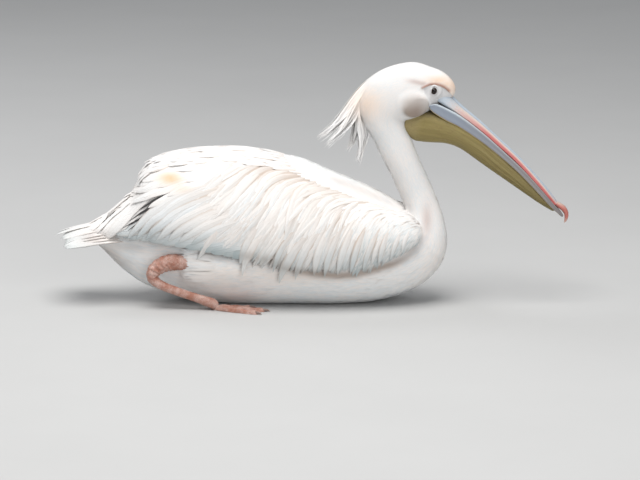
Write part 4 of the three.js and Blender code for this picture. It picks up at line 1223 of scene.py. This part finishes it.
# Each plume leaves the nape along the lie of its feathers and bends over to the tip of its lock: a cubic
# curve from its root, through a point further down the nape and one short of the tip, to the tip.
def makeCrest():
    rng = np.random.default_rng(8)
    count = crest["plumes"]
    tips = np.array(crest["tips"], float)
    lock = rng.choice(len(tips), count, p=tips[:, 3] / tips[:, 3].sum())
    rootU = rng.uniform(*crest["rootFrom"], count)
    rootA = np.clip(rng.normal(0, crest["rootSpread"], count), -1, 1) * crest["rootAcross"]
    root = skinPoint(rootU, rootA, 1.5) / mm
    lie = unit(skinPoint(rootU - 0.4, rootA, 0.2) - skinPoint(rootU, rootA, 1.0))
    tip = tips[lock, :3] + rng.normal(0, crest["tipSpread"], (count, 3))
    sideways = np.clip(rootA / crest["parting"], -1, 1)
    tip[:, 1] += crest["partWidth"] * sideways
    short = rng.uniform(crest["shortest"], 1.0, count)[:, None]
    tip = root + (tip - root) * short + np.array(crest["shortLift"]) * (1 - short)
    reach = np.linalg.norm(tip - root, axis=-1, keepdims=True)
    second = root + lie * reach * crest["lie"]
    third = tip - unit(unit(tip - root) + np.array(crest["flare"])) * reach * crest["hang"]
    t = np.linspace(0, 1, crest["rows"])[None, :, None]
    path = (root[:, None] * (1 - t) ** 3 + 3 * second[:, None] * t * (1 - t) ** 2
            + 3 * third[:, None] * t ** 2 * (1 - t) + tip[:, None] * t ** 3)
    path[..., 0] = np.maximum(path[..., 0], crest["behind"])
    path = path * mm
    ahead = unit(np.gradient(path, axis=1))
    outward = np.array(crest["outward"]) + rng.normal(0, 0.15, (count, 1, 3))
    outward[..., 1] += sideways[:, None] * crest["sideways"]
    normals = unit(outward - ahead * (outward * ahead).sum(-1, keepdims=True))
    points = vanePoints(path, normals, rng.uniform(0.7, 1.3, count) * crest["halfWidth"] * mm,
                        lambda t: leafWidth(t, 0.3, 0.7), lambda t: np.zeros((1, len(t))), 0.3, 3)
    roots = np.stack([rootU / lastSection, (rootA / fullTurn) % 1], -1)
    shared = unit(normals * crest["ownFacing"] + np.array(crest["facing"]))
    piece = putVanes("crestPlumes", points, roots, vaneLook["loosePlumage"], rng.uniform(0, 0.3, count),
                     shared, 0.9)
    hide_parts("crest")


makeCrest()
print("crest ready")

bill = {
    "ridge": [(330, 462), (350, 443), (368, 425), (409, 390), (452, 350), (495, 309), (538, 261), (559, 235),
              (574, 215)],
    "depth": (33, 27.5, 21.5, 17, 14.5, 13, 12, 11, 10),
    "half": (19, 19, 18, 16, 15, 15, 16.5, 16, 12),
    "widest": 0.72, "powers": (2.2, 3.0), "rows": 240, "around": 104,
    "keel": (1.1, 0.0, 0.16), "groove": (-0.9, 0.40, 0.12), "lip": (0.5, 1.62, 0.10),  # height, angle, width
    "ripple": 0.12, "ripples": 46, "relief": 0.0009,
    "ridgeColour": ((0.56, 0.64, 0.70), (0.33, 0.385, 0.46)),
    "cream": (0.66, 0.58, 0.52), "orange": (0.68, 0.38, 0.20), "red": (0.46, 0.065, 0.060),
    "paleRed": (0.66, 0.33, 0.29), "seam": (0.19, 0.17, 0.20), "under": (0.20, 0.165, 0.15),
    # where each band comes in or goes, as shares of the way down the side and of the way out from the base
    "mottleDown": ((0.19, 0.27), (0.60, 0.50)), "mottleOut": ((0.66, 0.36), (0.08, 0.30)), "mottled": 0.75,
    "creamDown": (0.17, 0.24), "creamOut": (0.20, 0.40), "creamy": 0.8,
    "seamDown": ((0.13, 0.16), (0.21, 0.18)), "seamy": 0.6,
    "redDown": ((0.26, 0.36), (0.31, 0.43)), "redOut": (0.20, 0.44), "redTip": (0.86, 1.0),
    "underDown": (0.60, 0.72),
}


def billTable():  # a section at each ridge point, square to the ridge
    ridge = np.array(bill["ridge"], float)
    number = np.arange(len(ridge))
    ahead = unit(ridge[np.minimum(number + 1, number[-1])] - ridge[np.maximum(number - 1, 0)])
    belly = ridge + np.stack([ahead[:, 1], -ahead[:, 0]], -1) * np.array(bill["depth"])[:, None]
    wide = np.full(len(ridge), bill["widest"])
    return np.concatenate([ridge, belly, np.array([bill["half"], wide]).T], 1)


def sideLay(tree):  # along a tube, and down its side from 0 on its top to 1 below
    along, turn = layOf(tree)
    return along, minus(tree, 1.0, calc(tree, "ABSOLUTE", minus(tree, times(tree, turn, 2.0), 1.0)))


def stretched(tree, along, across, alongScale, acrossScale):  # coordinates for streaks along a tube
    return node(tree, "CombineXYZ", {
        "X": times(tree, along, alongScale), "Y": times(tree, across, acrossScale)}).outputs["Vector"]


# Horn: blue-grey over the ridge, a dark seam beside it, mottled cream and orange low on the side near the
# base, then a cream band that deepens to a red edge from a fifth of the way out. Streaks follow the bill.
def hornMaterial():
    material, tree, shader = newMaterial("billHorn", Roughness=0.36, Coat_Weight=0.25, Coat_Roughness=0.25)
    along, m = sideLay(tree)
    streak = noiseAt(tree, stretched(tree, along, m, 26.0, 16.0), 1.6, 4.0, 0.6)
    fleck = noiseAt(tree, stretched(tree, along, m, 60.0, 14.0), 1.3, 4.0, 0.65)
    ridge = blend(tree, streak, *bill["ridgeColour"])
    mottle = rampOf(tree, fleck, [(0.30, bill["ridgeColour"][1]), (0.46, bill["cream"]),
                                  (0.60, bill["orange"]), (0.74, bill["cream"])])
    low = times(tree, *(stepOf(tree, m, *reach) for reach in bill["mottleDown"]))
    out, into = (stepOf(tree, along, *reach) for reach in bill["mottleOut"])
    base = times(tree, times(tree, low, out), plus(tree, into, 0.06), True)
    colour = blend(tree, times(tree, base, bill["mottled"]), ridge, mottle)
    cream = times(tree, stepOf(tree, m, *bill["creamDown"]), stepOf(tree, along, *bill["creamOut"]))
    colour = blend(tree, times(tree, cream, bill["creamy"]), colour, bill["cream"])
    seam = times(tree, *(stepOf(tree, m, *reach) for reach in bill["seamDown"]))
    colour = blend(tree, times(tree, seam, bill["seamy"]), colour, bill["seam"])
    start, depth = (stepOf(tree, m, *reach) for reach in bill["redDown"])
    red = blend(tree, plus(tree, depth, times(tree, fleck, -0.25), True), bill["paleRed"], bill["red"])
    colour = blend(tree, times(tree, start, stepOf(tree, along, *bill["redOut"])), colour, red)
    colour = blend(tree, times(tree, stepOf(tree, along, *bill["redTip"]), 0.35), colour, red)
    colour = blend(tree, stepOf(tree, m, *bill["underDown"]), colour, bill["under"])
    paint(tree, shader, colour, plus(tree, streak, times(tree, fleck, 0.6)), 0.5, bill["relief"])
    return material


# Bill: the section surface raised along the ridge, with a groove beside the ridge and a lip along the
# cutting edge. Each is a bell over the angle from the ridge.
def makeBill():
    last = len(bill["ridge"]) - 1
    s = np.linspace(0, last, bill["rows"])[:, None]
    a = turns(bill["around"])[None, :]
    grid = sectionPoint(billTable(), s, a, bill["powers"])
    turn = np.abs(np.mod(a + math.pi, fullTurn) - math.pi)
    shift = sum(height * bell((turn - angle) / width)
                for height, angle, width in (bill["keel"], bill["groove"], bill["lip"]))
    shift = shift + bill["ripple"] * np.sin(turn * bill["ripples"] + 0.8 * np.sin(s * 3))
    ends = smooth(0, 0.5, s) * smooth(last, last - 0.7, s)
    grid = grid + ringNormals(grid) * (shift * ends)[..., None]
    piece = putTube("bill", grid * mm, hornMaterial())
    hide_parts("bill_upper")


nail = {
    "rows": [  # x, z, half-width, half-height
        (568, 214.5, 7, 3.2), (571, 212, 10, 5), (580, 206.5, 9, 6), (588, 200, 8, 6), (593, 191, 6.5, 5),
        (593.6, 182, 4.6, 4), (591.4, 174, 2.6, 2.6), (589.6, 170.6, 1.2, 1.2), (589, 169.6, 0.3, 0.3),
    ],
    "colours": ((0.50, 0.11, 0.085), (0.60, 0.50, 0.42)), "wornFrom": (0.60, 0.95), "relief": 0.0008,
}


# The hooked nail: a limb surface, red, worn pale at the point and at its upper start.
def makeNail():
    grid = limbGrid([(x, 0, z, half, height) for x, z, half, height in nail["rows"]], 90, 48)
    material, tree, shader = newMaterial("billNail", Roughness=0.32, Coat_Weight=0.3, Coat_Roughness=0.2)
    along, m = sideLay(tree)
    wear = noiseAt(tree, objectPlace(tree), 500.0)
    worn = plus(tree, stepOf(tree, along, *nail["wornFrom"]), times(tree, wear, 0.22), True)
    upper = times(tree, stepOf(tree, m, 0.45, 0.25), stepOf(tree, along, 0.45, 0.2))
    worn = plus(tree, worn, times(tree, upper, 0.7), True)
    paint(tree, shader, blend(tree, worn, *nail["colours"]), wear, 0.4, nail["relief"])
    piece = putTube("billNail", grid, material)
    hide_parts("bill_nail")


jaw = {
    "rows": [  # x, y, z, height, thickness
        (298, 24.4, 427, 5, 2), (303, 24, 425, 13, 6), (313, 24, 421, 21, 8), (341, 23, 405.5, 25, 8),
        (367, 21, 390.5, 22, 8), (410, 18, 359, 18, 7), (453, 15.5, 322.5, 14, 7),
        (496, 14.5, 282.5, 12.5, 6.5), (539, 14, 236.5, 11.5, 6.5), (560, 11.5, 212, 10, 6.5),
        (574, 7, 197, 8, 6), (583, 3.6, 187, 6, 5), (586, 2.4, 184, 2, 2),
    ],
    "squareness": 2.8, "groove": 0.8, "grooveWidth": 0.42, "rings": 240, "around": 56, "relief": 0.0008,
    "bands": [  # down from the upper edge: pale edge, slate face, dark, and a yellow line
        (0.16, (0.50, 0.56, 0.60)), (0.34, (0.25, 0.285, 0.345)), (0.66, (0.25, 0.285, 0.345)),
        (0.76, (0.27, 0.26, 0.30)), (0.86, (0.56, 0.43, 0.15)), (0.95, (0.56, 0.43, 0.15)),
    ],
    "taupe": (0.235, 0.20, 0.185), "taupeOut": (0.30, 0.62), "taupeDown": (0.84, 0.76),
}


# Jaw: a pale upper edge, a slate face that turns taupe further out, and a thin yellow line along the bottom.
def jawMaterial():
    material, tree, shader = newMaterial("jawHorn", Roughness=0.38, Coat_Weight=0.22, Coat_Roughness=0.25)
    along, m = sideLay(tree)
    streak = noiseAt(tree, stretched(tree, along, m, 30.0, 12.0), 1.4, 4.0, 0.6)
    colour = rampOf(tree, plus(tree, m, times(tree, minus(tree, streak, 0.5), 0.10)), jaw["bands"])
    taupe = times(tree, stepOf(tree, along, *jaw["taupeOut"]), stepOf(tree, m, *jaw["taupeDown"]))
    colour = blend(tree, times(tree, taupe, 0.8), colour, jaw["taupe"])
    paint(tree, shader, colour, streak, 0.5, jaw["relief"])
    return material


# Jaw: a limb surface with a groove along its outer face, a bell over the angle.
def makeJaw(sideName, side, material):
    rows = [(x, y * side, z, thick / 2, height / 2) for x, y, z, height, thick in jaw["rows"]]
    grid = limbGrid(rows, jaw["rings"], jaw["around"], jaw["squareness"])
    share = np.linspace(0, 1, jaw["rings"])[:, None]
    outside = math.pi * (1 - side / 2)
    outer = bell((turns(jaw["around"]) - outside) / jaw["grooveWidth"])[None, :]
    shift = -jaw["groove"] * outer * smooth(0.02, 0.1, share) * smooth(1, 0.85, share)
    grid = grid + ringNormals(grid) * (shift * mm)[..., None]
    piece = putTube("jawHorn_" + sideName, grid, material)
    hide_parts("jaw_" + sideName)


makeBill()
makeNail()
jawLook = jawMaterial()
for sideName, side in sides.items():
    makeJaw(sideName, side, jawLook)
print("bill ready")

pouch = {
    "sections": [  # back x z, belly x z, half-width, widest place
        (247, 392, 245, 384, 5, 0.5), (250, 398, 244, 372, 12, 0.5), (276, 412, 264, 352, 24, 0.45),
        (300, 414, 282, 347, 27, 0.4), (326, 405, 308, 345, 27, 0.38), (353, 391, 334, 343.5, 26, 0.38),
        (387, 370, 364, 333, 23, 0.38), (422, 345.5, 398, 309, 20, 0.38), (461, 311.5, 438, 280, 17.5, 0.38),
        (502.5, 271, 484, 248, 15.5, 0.38), (543.5, 227, 530, 216, 13, 0.4), (565, 203.5, 557, 199, 8.5, 0.4),
        (571, 197, 563, 195.5, 3, 0.4),
    ],
    "powers": (3.2, 2.0), "rows": 260, "around": 132,
    "fold": 0.55, "folds": 15, "crease": 0.35, "creases": 37, "relief": 0.0016,
    # dark: painted shade along the top under the jaw, also used to darken the far end
    "dark": (0.095, 0.070, 0.018), "olive": (0.255, 0.200, 0.062), "throat": (0.52, 0.42, 0.22),
    "vein": (0.16, 0.075, 0.035), "veins": (7.0, 6.0, 2.2), "wrinkles": (12.0, 60.0, 1.5),
}


# Pouch skin: olive yellow, darker under the jaw as painted shade, darker towards its far end, paler at the
# throat, with fine folds and faint veins running along it.
def pouchMaterial():
    material, tree, shader = newMaterial("pouchSkin", Roughness=0.48, Coat_Weight=0.12, Coat_Roughness=0.35,
                                         Subsurface_Weight=0.06, Subsurface_Scale=0.004)
    shader.inputs["Subsurface Radius"].default_value = (1.0, 0.55, 0.25)
    along, m = sideLay(tree)
    where = objectPlace(tree)
    cloud = noiseAt(tree, where, 38.0, 4.0, 0.6)
    # painted shade: darker along the top of the pouch, under the jaw
    low = plus(tree, stepOf(tree, m, 0.10, 0.75), times(tree, minus(tree, cloud, 0.5), 0.8))
    colour = rampOf(tree, low, [(0.08, pouch["dark"]), (0.50, pouch["olive"]), (1.0, pouch["olive"])])
    colour = blend(tree, times(tree, stepOf(tree, along, 0.22, 0.02), 0.85), colour, pouch["throat"])
    colour = blend(tree, times(tree, stepOf(tree, along, 0.5, 1.0), 0.5), colour, pouch["dark"])
    alongScale, acrossScale, scale = pouch["veins"]
    veins = cellEdges(tree, stretched(tree, along, m, alongScale, acrossScale), scale)
    colour = blend(tree, times(tree, stepOf(tree, veins, 0.05, 0.0), 0.22), colour, pouch["vein"])
    alongScale, acrossScale, scale = pouch["wrinkles"]
    wrinkle = noiseAt(tree, stretched(tree, along, m, alongScale, acrossScale), scale, 5.0, 0.6)
    pore = noiseAt(tree, where, 700.0, 2.0)
    paint(tree, shader, colour, plus(tree, wrinkle, times(tree, pore, 0.35)), 0.55, pouch["relief"])
    return material


# Pouch: the section surface gathered into long folds, a sine of the angle from below whose phase wanders as
# they run along the pouch, with finer creases over them.
def makePouch():
    last = len(pouch["sections"]) - 1
    s = np.linspace(0, last, pouch["rows"])[:, None]
    a = turns(pouch["around"])[None, :]
    grid = sectionPoint(pouch["sections"], s, a, pouch["powers"])
    turn = np.abs(np.mod(a, fullTurn) - math.pi)
    wander = 0.5 * np.sin(s * 1.7) + 0.3 * np.sin(s * 3.9 + 2 * turn)
    folds = np.sin(turn * pouch["folds"] + wander) * (0.5 + 0.5 * np.sin(s * 1.3 + turn * 3))
    creases = pouch["crease"] * np.sin(turn * pouch["creases"] + 2.1 * np.sin(s * 2.3))
    amount = pouch["fold"] * smooth(0.3, 2, s) * smooth(last, last - 3, s) * smooth(2.9, 2.2, turn)
    grid = grid + ringNormals(grid) * ((folds + creases) * amount)[..., None]
    piece = putTube("pouchSkin", grid * mm, pouchMaterial())
    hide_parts("pouch")


makePouch()
print("pouch ready")

eye = {
    "at": (307.5, 23.5, 461), "radius": 9.3, "bulge": 0.5, "rings": 90, "around": 72,
    "pupil": 0.34, "iris": 0.70,  # radians from its axis
    "irisColour": ((0.028, 0.011, 0.007), (0.010, 0.005, 0.004)), "rim": (0.012, 0.006, 0.005),
    "white": (0.20, 0.13, 0.11), "pupilColour": (0.003, 0.003, 0.003),
}


# Eyeball: rings of growing angle round its outward axis, with a low swell over the iris. The iris and
# pupil are bands of that angle.
def makeEye(sideName, side):
    angle = np.linspace(0, math.pi, eye["rings"])[:, None]
    turn = turns(eye["around"])[None, :]
    r = eye["radius"] + eye["bulge"] * np.exp(-(angle / 0.5) ** 4)
    x = eye["at"][0] + r * np.sin(angle) * np.cos(turn)
    z = eye["at"][2] + r * np.sin(angle) * np.sin(turn)
    y = (eye["at"][1] + r * np.cos(angle) + 0 * turn) * side
    grid = np.stack(np.broadcast_arrays(x, y, z), -1)[1:-1] * mm
    material, tree, shader = newMaterial("eye_" + sideName, Roughness=0.05, Coat_Weight=0.4,
                                         Coat_Roughness=0.02, Coat_IOR=1.38, Specular_IOR_Level=0.2)
    along, around = layOf(tree)
    rays = noiseAt(tree, stretched(tree, along, around, 8.0, 60.0), 1.0, 2.0)
    reach = times(tree, along, math.pi)
    colour = blend(tree, rays, *eye["irisColour"])
    colour = blend(tree, stepOf(tree, reach, eye["iris"] - 0.07, eye["iris"]), colour, eye["rim"])
    colour = blend(tree, stepOf(tree, reach, eye["iris"] + 0.10, eye["iris"] + 0.2), colour, eye["white"])
    colour = blend(tree, stepOf(tree, reach, eye["pupil"], eye["pupil"] - 0.03), colour, eye["pupilColour"])
    tree.links.new(colour, shader.inputs["Base Color"])
    piece = putTube("eyeball_" + sideName, grid, material, outward=-side)
    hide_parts("eye_" + sideName)


lids = {
    "opening": (6.1, 7.8), "corner": 0.5, "tilt": -12, "around": 120, "across": 64,
    "crease": 0.14, "creases": 31, "upper": 0.7, "upperAt": (1.9, 0.75),  # the upper lid's fold: angle, width
    "profile": [  # share of the opening, height over the eyeball, height over the face, which of the two
        (0.86, -1.6, 0, 0), (0.93, -0.5, 0, 0), (0.98, 0.25, 0, 0), (1.03, 0.85, 0, 0), (1.10, 1.05, 0, 0),
        (1.20, 0.75, 0, 0), (1.32, 0, 2.0, 1), (1.42, 0, 1.35, 1), (1.50, 0, 1.25, 1), (1.60, 0, 0.9, 1),
        (1.72, 0, 0.15, 1), (1.80, 0, -0.9, 1), (1.70, 0, -2.6, 1), (1.30, 0, -3.4, 1), (0.95, -4.0, 0, 0),
    ],
}


# Lids: a closed ring. Its profile starts behind the edge of the opening, a tilted ellipse, rolls over the
# lip, and falls in two folds to the face. Creases radiate from the opening.
def makeLids(sideName, side):
    count, across = lids["around"], lids["across"]
    theta = turns(count)[:, None]
    profile = spline(lids["profile"], np.linspace(0, len(lids["profile"]) - 1, across))
    share, overBall, overPlate, which = profile.T
    tilt = math.radians(lids["tilt"])
    ex = lids["opening"][0] * np.cos(theta) + lids["corner"] * np.cos(2 * theta)
    ez = lids["opening"][1] * np.sin(theta)
    dx = (ex * math.cos(tilt) - ez * math.sin(tilt)) * share
    dz = (ex * math.sin(tilt) + ez * math.cos(tilt)) * share
    ball = eye["at"][1] + np.sqrt(np.maximum(eye["radius"] ** 2 - np.hypot(dx, dz) ** 2, 4.0))
    crease = lids["crease"] * np.sin(theta * lids["creases"] + 2 * np.sin(theta * 3))
    crease = crease * smooth(1.15, 1.4, share) * smooth(1.85, 1.6, share)
    upper = lids["upper"] * bell((theta - lids["upperAt"][0]) / lids["upperAt"][1])
    upper = upper * smooth(0.95, 1.1, share) * smooth(1.8, 1.5, share)
    y = (1 - which) * (ball + overBall) + which * (body["eyePlate"] + overPlate) + crease + upper
    grid = np.stack([eye["at"][0] + dx, y * side, eye["at"][2] + dz], -1) * mm
    quads = gridQuads(count + 1, across, True) % (count * across)
    if side > 0:
        quads = quads[:, ::-1]
    marks = marksAt(grid).reshape(-1, 4)
    marks[:, 3] = 1
    i, j = np.divmod(np.arange(count * across), across)
    lay = np.stack([i[quads] / count, j[quads] / across], -1).reshape(-1, 2)
    piece = putMesh("lids_" + sideName, grid.reshape(-1, 3), [quads], skinLook, {"lay": lay, "OFBake": lay},
                    {"marks": marks})


for sideName, side in sides.items():
    makeEye(sideName, side)
    makeLids(sideName, side)
print("eyes ready")

leg = {
    "rows": [  # x, y, z, half-width, half-height
        (-206, 94, 100, 8, 9), (-214, 94, 101, 13, 15), (-246, 95, 102, 15, 17.5), (-268, 96, 98, 15, 17),
        (-288, 98, 85, 14, 15), (-292, 99, 68, 11, 12), (-274, 100, 53, 8, 9.5), (-236, 101, 38, 7.5, 9),
        (-200, 102, 26, 7.5, 9), (-168, 103, 15, 11, 11), (-158, 103.5, 11, 9, 9), (-153, 104, 9, 4, 4),
    ],
    "rings": 320, "around": 80, "floorGap": 0.7,
    "wrinkle": 0.75, "joint": (3.6, 1.9), "scale": 0.42, "scales": (34, 15),  # joint: row and width in rows
    "red": (0.40, 0.175, 0.12), "pink": (0.62, 0.42, 0.36), "crease": (0.22, 0.080, 0.055),
    "cells": 300.0, "relief": 0.0008,
}


# Bare skin of leg and foot: pink over red, with dark creases between small scales.
def legMaterial():
    material, tree, shader = newMaterial("legSkin", Roughness=0.5, Coat_Weight=0.15, Coat_Roughness=0.3,
                                         Subsurface_Weight=0.08, Subsurface_Scale=0.004)
    shader.inputs["Subsurface Radius"].default_value = (1.0, 0.4, 0.25)
    where = objectPlace(tree)
    cells = cellEdges(tree, where, leg["cells"])
    cloud = noiseAt(tree, where, 55.0, 4.0, 0.6)
    colour = blend(tree, stepOf(tree, cloud, 0.38, 0.64), leg["red"], leg["pink"])
    colour = blend(tree, times(tree, stepOf(tree, cells, 0.10, 0.0), 0.4), colour, leg["crease"])
    paint(tree, shader, colour, stepOf(tree, cells, 0.0, 0.16), 0.6, leg["relief"])
    return material


# Leg: the limb surface with wrinkles across it, deepest at the joint, over a net of small scales, whose
# height is the mean of three cosines that run in directions about sixty degrees apart.
def makeLeg(sideName, side, material):
    rows = [(x, y * side, z, half, height) for x, y, z, half, height in leg["rows"]]
    grid = limbGrid(rows, leg["rings"], leg["around"])
    s = np.linspace(0, len(rows) - 1, leg["rings"])[:, None]
    a = turns(leg["around"])[None, :]
    joint = bell((s - leg["joint"][0]) / leg["joint"][1])
    across = np.sin(s * 13 + 1.5 * np.sin(2 * a + s) + 0.8 * np.sin(5 * a))
    u, v = s * leg["scales"][0], a * leg["scales"][1]
    net = (np.cos(u) + np.cos(u / 2 + v) + np.cos(u / 2 - v)) / 3
    shift = leg["wrinkle"] * across * joint + leg["scale"] * net * (0.5 + 0.5 * (1 - joint))
    shift = shift * smooth(0, 0.8, s) * smooth(len(rows) - 1, len(rows) - 2, s)
    grid = grid + ringNormals(grid) * (shift * mm)[..., None]
    grid[..., 2] = np.maximum(grid[..., 2], leg["floorGap"] * mm)
    piece = putTube("legSkin_" + sideName, grid, material)
    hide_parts("leg_" + sideName)


foot = {
    "ankle": (-168, 103),
    "toes": [(110, 27, 7), (116, 10, 7), (86, -8, 6.5), (46, -42, 5)],  # length, turn in degrees, radius
    "sag": 0.86, "web": 2.4, "folds": 0.5, "taper": 0.4, "sink": 0.8, "knuckle": 0.10, "scute": 0.22,
    "around": 200, "across": (76, 12), "sole": 0.4, "thinnest": 0.8,
    "claw": (12, 3.4),  # length and root radius
    "clawRows": [  # share of the length, share of the radius, height
        (-0.5, 0.6, 2.6), (-0.3, 1, 3.0), (0.2, 0.9, 3.6), (0.6, 0.6, 3.2), (0.9, 0.28, 1.9),
        (1.0, 0.06, 1.2),
    ],
    "clawColours": ((0.16, 0.11, 0.10), (0.30, 0.20, 0.16)),
}


def toeCurve():  # the outline of the web: turn in degrees and reach, with the web drawn in between two toes
    toes = sorted(foot["toes"], key=lambda toe: toe[1])
    knots = [(toes[0][1] - 16, 10), (toes[0][1] - 7, toes[0][0] * 0.55)]
    for number, toe in enumerate(toes):
        length, turn = toe[:2]
        knots += [(turn - 2.5, length * 0.985), (turn, length + 1), (turn + 2.5, length * 0.985)]
        if number + 1 < len(toes):
            after = toes[number + 1]
            knots.append(((turn + after[1]) / 2, (length + after[0]) / 2 * foot["sag"]))
    return np.array(knots + [(toes[-1][1] + 5, toes[-1][0] * 0.6), (toes[-1][1] + 12, 10)], float)


# Foot: over the web's outline, its top is the web's folds or the round back of a toe, whichever is higher,
# and its underside is flat. Toes carry cross scutes and swell at their joints.
def makeFoot(sideName, side, material):
    knots = toeCurve()
    s = np.linspace(0, len(knots) - 1, foot["around"])
    turn, reach = spline(knots, s).T[..., None]
    turn = np.radians(turn)
    top, bottom = foot["across"]
    q = np.concatenate([np.linspace(0.03, 1, top), np.linspace(1, 0.03, bottom)])[None, :]
    onTop = np.concatenate([np.ones(top), np.zeros(bottom)])[None, :]
    r = reach * q
    share = (s / s[-1])[:, None]
    edge = smooth(1.0, 0.94, q) * smooth(0, 0.06, share) * smooth(1, 0.94, share)
    height = foot["web"] + foot["folds"] * np.sin(turn * 46) * smooth(0.15, 0.6, q)
    for length, toeTurn, radius in foot["toes"]:
        away = r * np.sin(turn - math.radians(toeTurn))
        along = r * np.cos(turn - math.radians(toeTurn)) / length
        thick = radius * (1 - foot["taper"] * along) * (1 + foot["knuckle"] * np.cos(along * fullTurn * 3.2))
        back = np.sqrt(np.maximum(thick ** 2 - away ** 2, 0))
        toe = foot["sink"] * thick * smooth(0, 0.25, back / thick) + back * 0.95
        toe = toe + foot["scute"] * np.abs(np.sin(along * length * 0.95)) * (back > 0)
        height = np.maximum(height, toe * (along > 0) * smooth(1.04, 0.97, along))
    z = foot["sole"] + onTop * np.maximum(height - foot["sole"], foot["thinnest"]) * (0.25 + 0.75 * edge)
    x = foot["ankle"][0] + r * np.cos(turn)
    y = (foot["ankle"][1] + r * np.sin(turn)) * side
    grid = np.stack(np.broadcast_arrays(x, y, z), -1) * mm
    piece = putTube("footSkin_" + sideName, grid, material, outward=-side)
    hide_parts("foot_" + sideName)


def clawMaterial():
    material, tree, shader = newMaterial("clawHorn", Roughness=0.4)
    shade = noiseAt(tree, objectPlace(tree), 400.0)
    tree.links.new(blend(tree, shade, *foot["clawColours"]), shader.inputs["Base Color"])
    return material


# Claws: limb surfaces that carry on from the toes' tips and sink to a point.
def makeClaws(sideName, side, material):
    length, root = foot["claw"]
    ankleX, ankleY = foot["ankle"]
    for number, toe in enumerate(foot["toes"]):
        reach, angle = toe[0], math.radians(toe[1])
        rows = []
        for share, size, rise in foot["clawRows"]:
            far = reach + share * length
            rows.append((ankleX + far * math.cos(angle), (ankleY + far * math.sin(angle)) * side, rise,
                         root * size * 0.8, root * size))
        grid = limbGrid(rows, 30, 20)
        grid[..., 2] = np.maximum(grid[..., 2], 0.3 * mm)
        piece = putTube(f"claw_{sideName}_{number}", grid, material)


legLook, clawLook = legMaterial(), clawMaterial()
for sideName, side in sides.items():
    makeLeg(sideName, side, legLook)
    makeFoot(sideName, side, legLook)
    makeClaws(sideName, side, clawLook)
print("legs and feet ready")

stage = {
    "floor": ((0.50, 0.50, 0.495), (0.53, 0.53, 0.525)), "floorSize": 40.0,
    "lights": [  # place, what it looks at, size, watts, colour
        ((-0.4, -1.2, 4.2), (0, 0, 0.15), 3.6, 194, (1.0, 0.99, 0.975)),
        ((2.2, -4.4, 1.5), (0.0, 0, 0.15), 3.2, 78, (0.99, 0.985, 0.98)),
        ((-2.4, 2.6, 3.2), (0, 0, 0.2), 2.4, 45, (0.98, 0.98, 1.0)),
    ],
    "sky": (0.90, 0.93, 0.97, 1), "skyStrength": 0.34,
    "target": (0.0645, 0, 0.1317), "elevation": 11.0, "distance": 10.5, "frameWidth": 1.376, "sensor": 36,
}


def aim(toward):  # turns -Z of a camera or lamp to a direction, with the top up
    return Vector(toward).to_track_quat("-Z", "Y").to_euler()


def makeFloor():
    material, tree, shader = newMaterial("floorPaint", Roughness=0.85)
    grain = noiseAt(tree, objectPlace(tree), 3.0)
    tree.links.new(blend(tree, grain, *stage["floor"]), shader.inputs["Base Color"])
    half = stage["floorSize"] / 2
    mesh = bpy.data.meshes.new("floor")
    corners = [(-half, -half, 0), (half, -half, 0), (half, half, 0), (-half, half, 0)]
    mesh.from_pydata(corners, [], [(0, 1, 2, 3)])
    mesh.materials.append(material)
    floor = bpy.data.objects.new("floor", mesh)
    bpy.context.scene.collection.objects.link(floor)


def makeLights():
    for number, (place, target, size, watts, colour) in enumerate(stage["lights"]):
        data = bpy.data.lights.new(f"softBox{number}", "AREA")
        data.shape, data.size, data.energy, data.color = "DISK", size, watts, colour
        lamp = bpy.data.objects.new(f"softBox{number}", data)
        bpy.context.scene.collection.objects.link(lamp)
        lamp.location = place
        lamp.rotation_euler = aim(np.array(target) - np.array(place))
    world = bpy.data.worlds.new("sky")
    world.use_nodes = True
    background = world.node_tree.nodes["Background"]
    background.inputs["Color"].default_value = stage["sky"]
    background.inputs["Strength"].default_value = stage["skyStrength"]
    bpy.context.scene.world = world
    bpy.context.scene.view_settings.view_transform = "Standard"


def makeCamera():
    data = bpy.data.cameras.new("camera")
    data.sensor_width = stage["sensor"]
    data.lens = data.sensor_width * stage["distance"] / stage["frameWidth"]
    data.clip_end = 100
    camera = bpy.data.objects.new("camera", data)
    bpy.context.scene.collection.objects.link(camera)
    lift = math.radians(stage["elevation"])
    away = np.array([0, -math.cos(lift), math.sin(lift)]) * stage["distance"]
    camera.location = np.array(stage["target"]) + away
    camera.rotation_euler = aim(-away)
    bpy.context.scene.camera = camera


makeFloor()
makeLights()
makeCamera()
print("stage and camera ready")
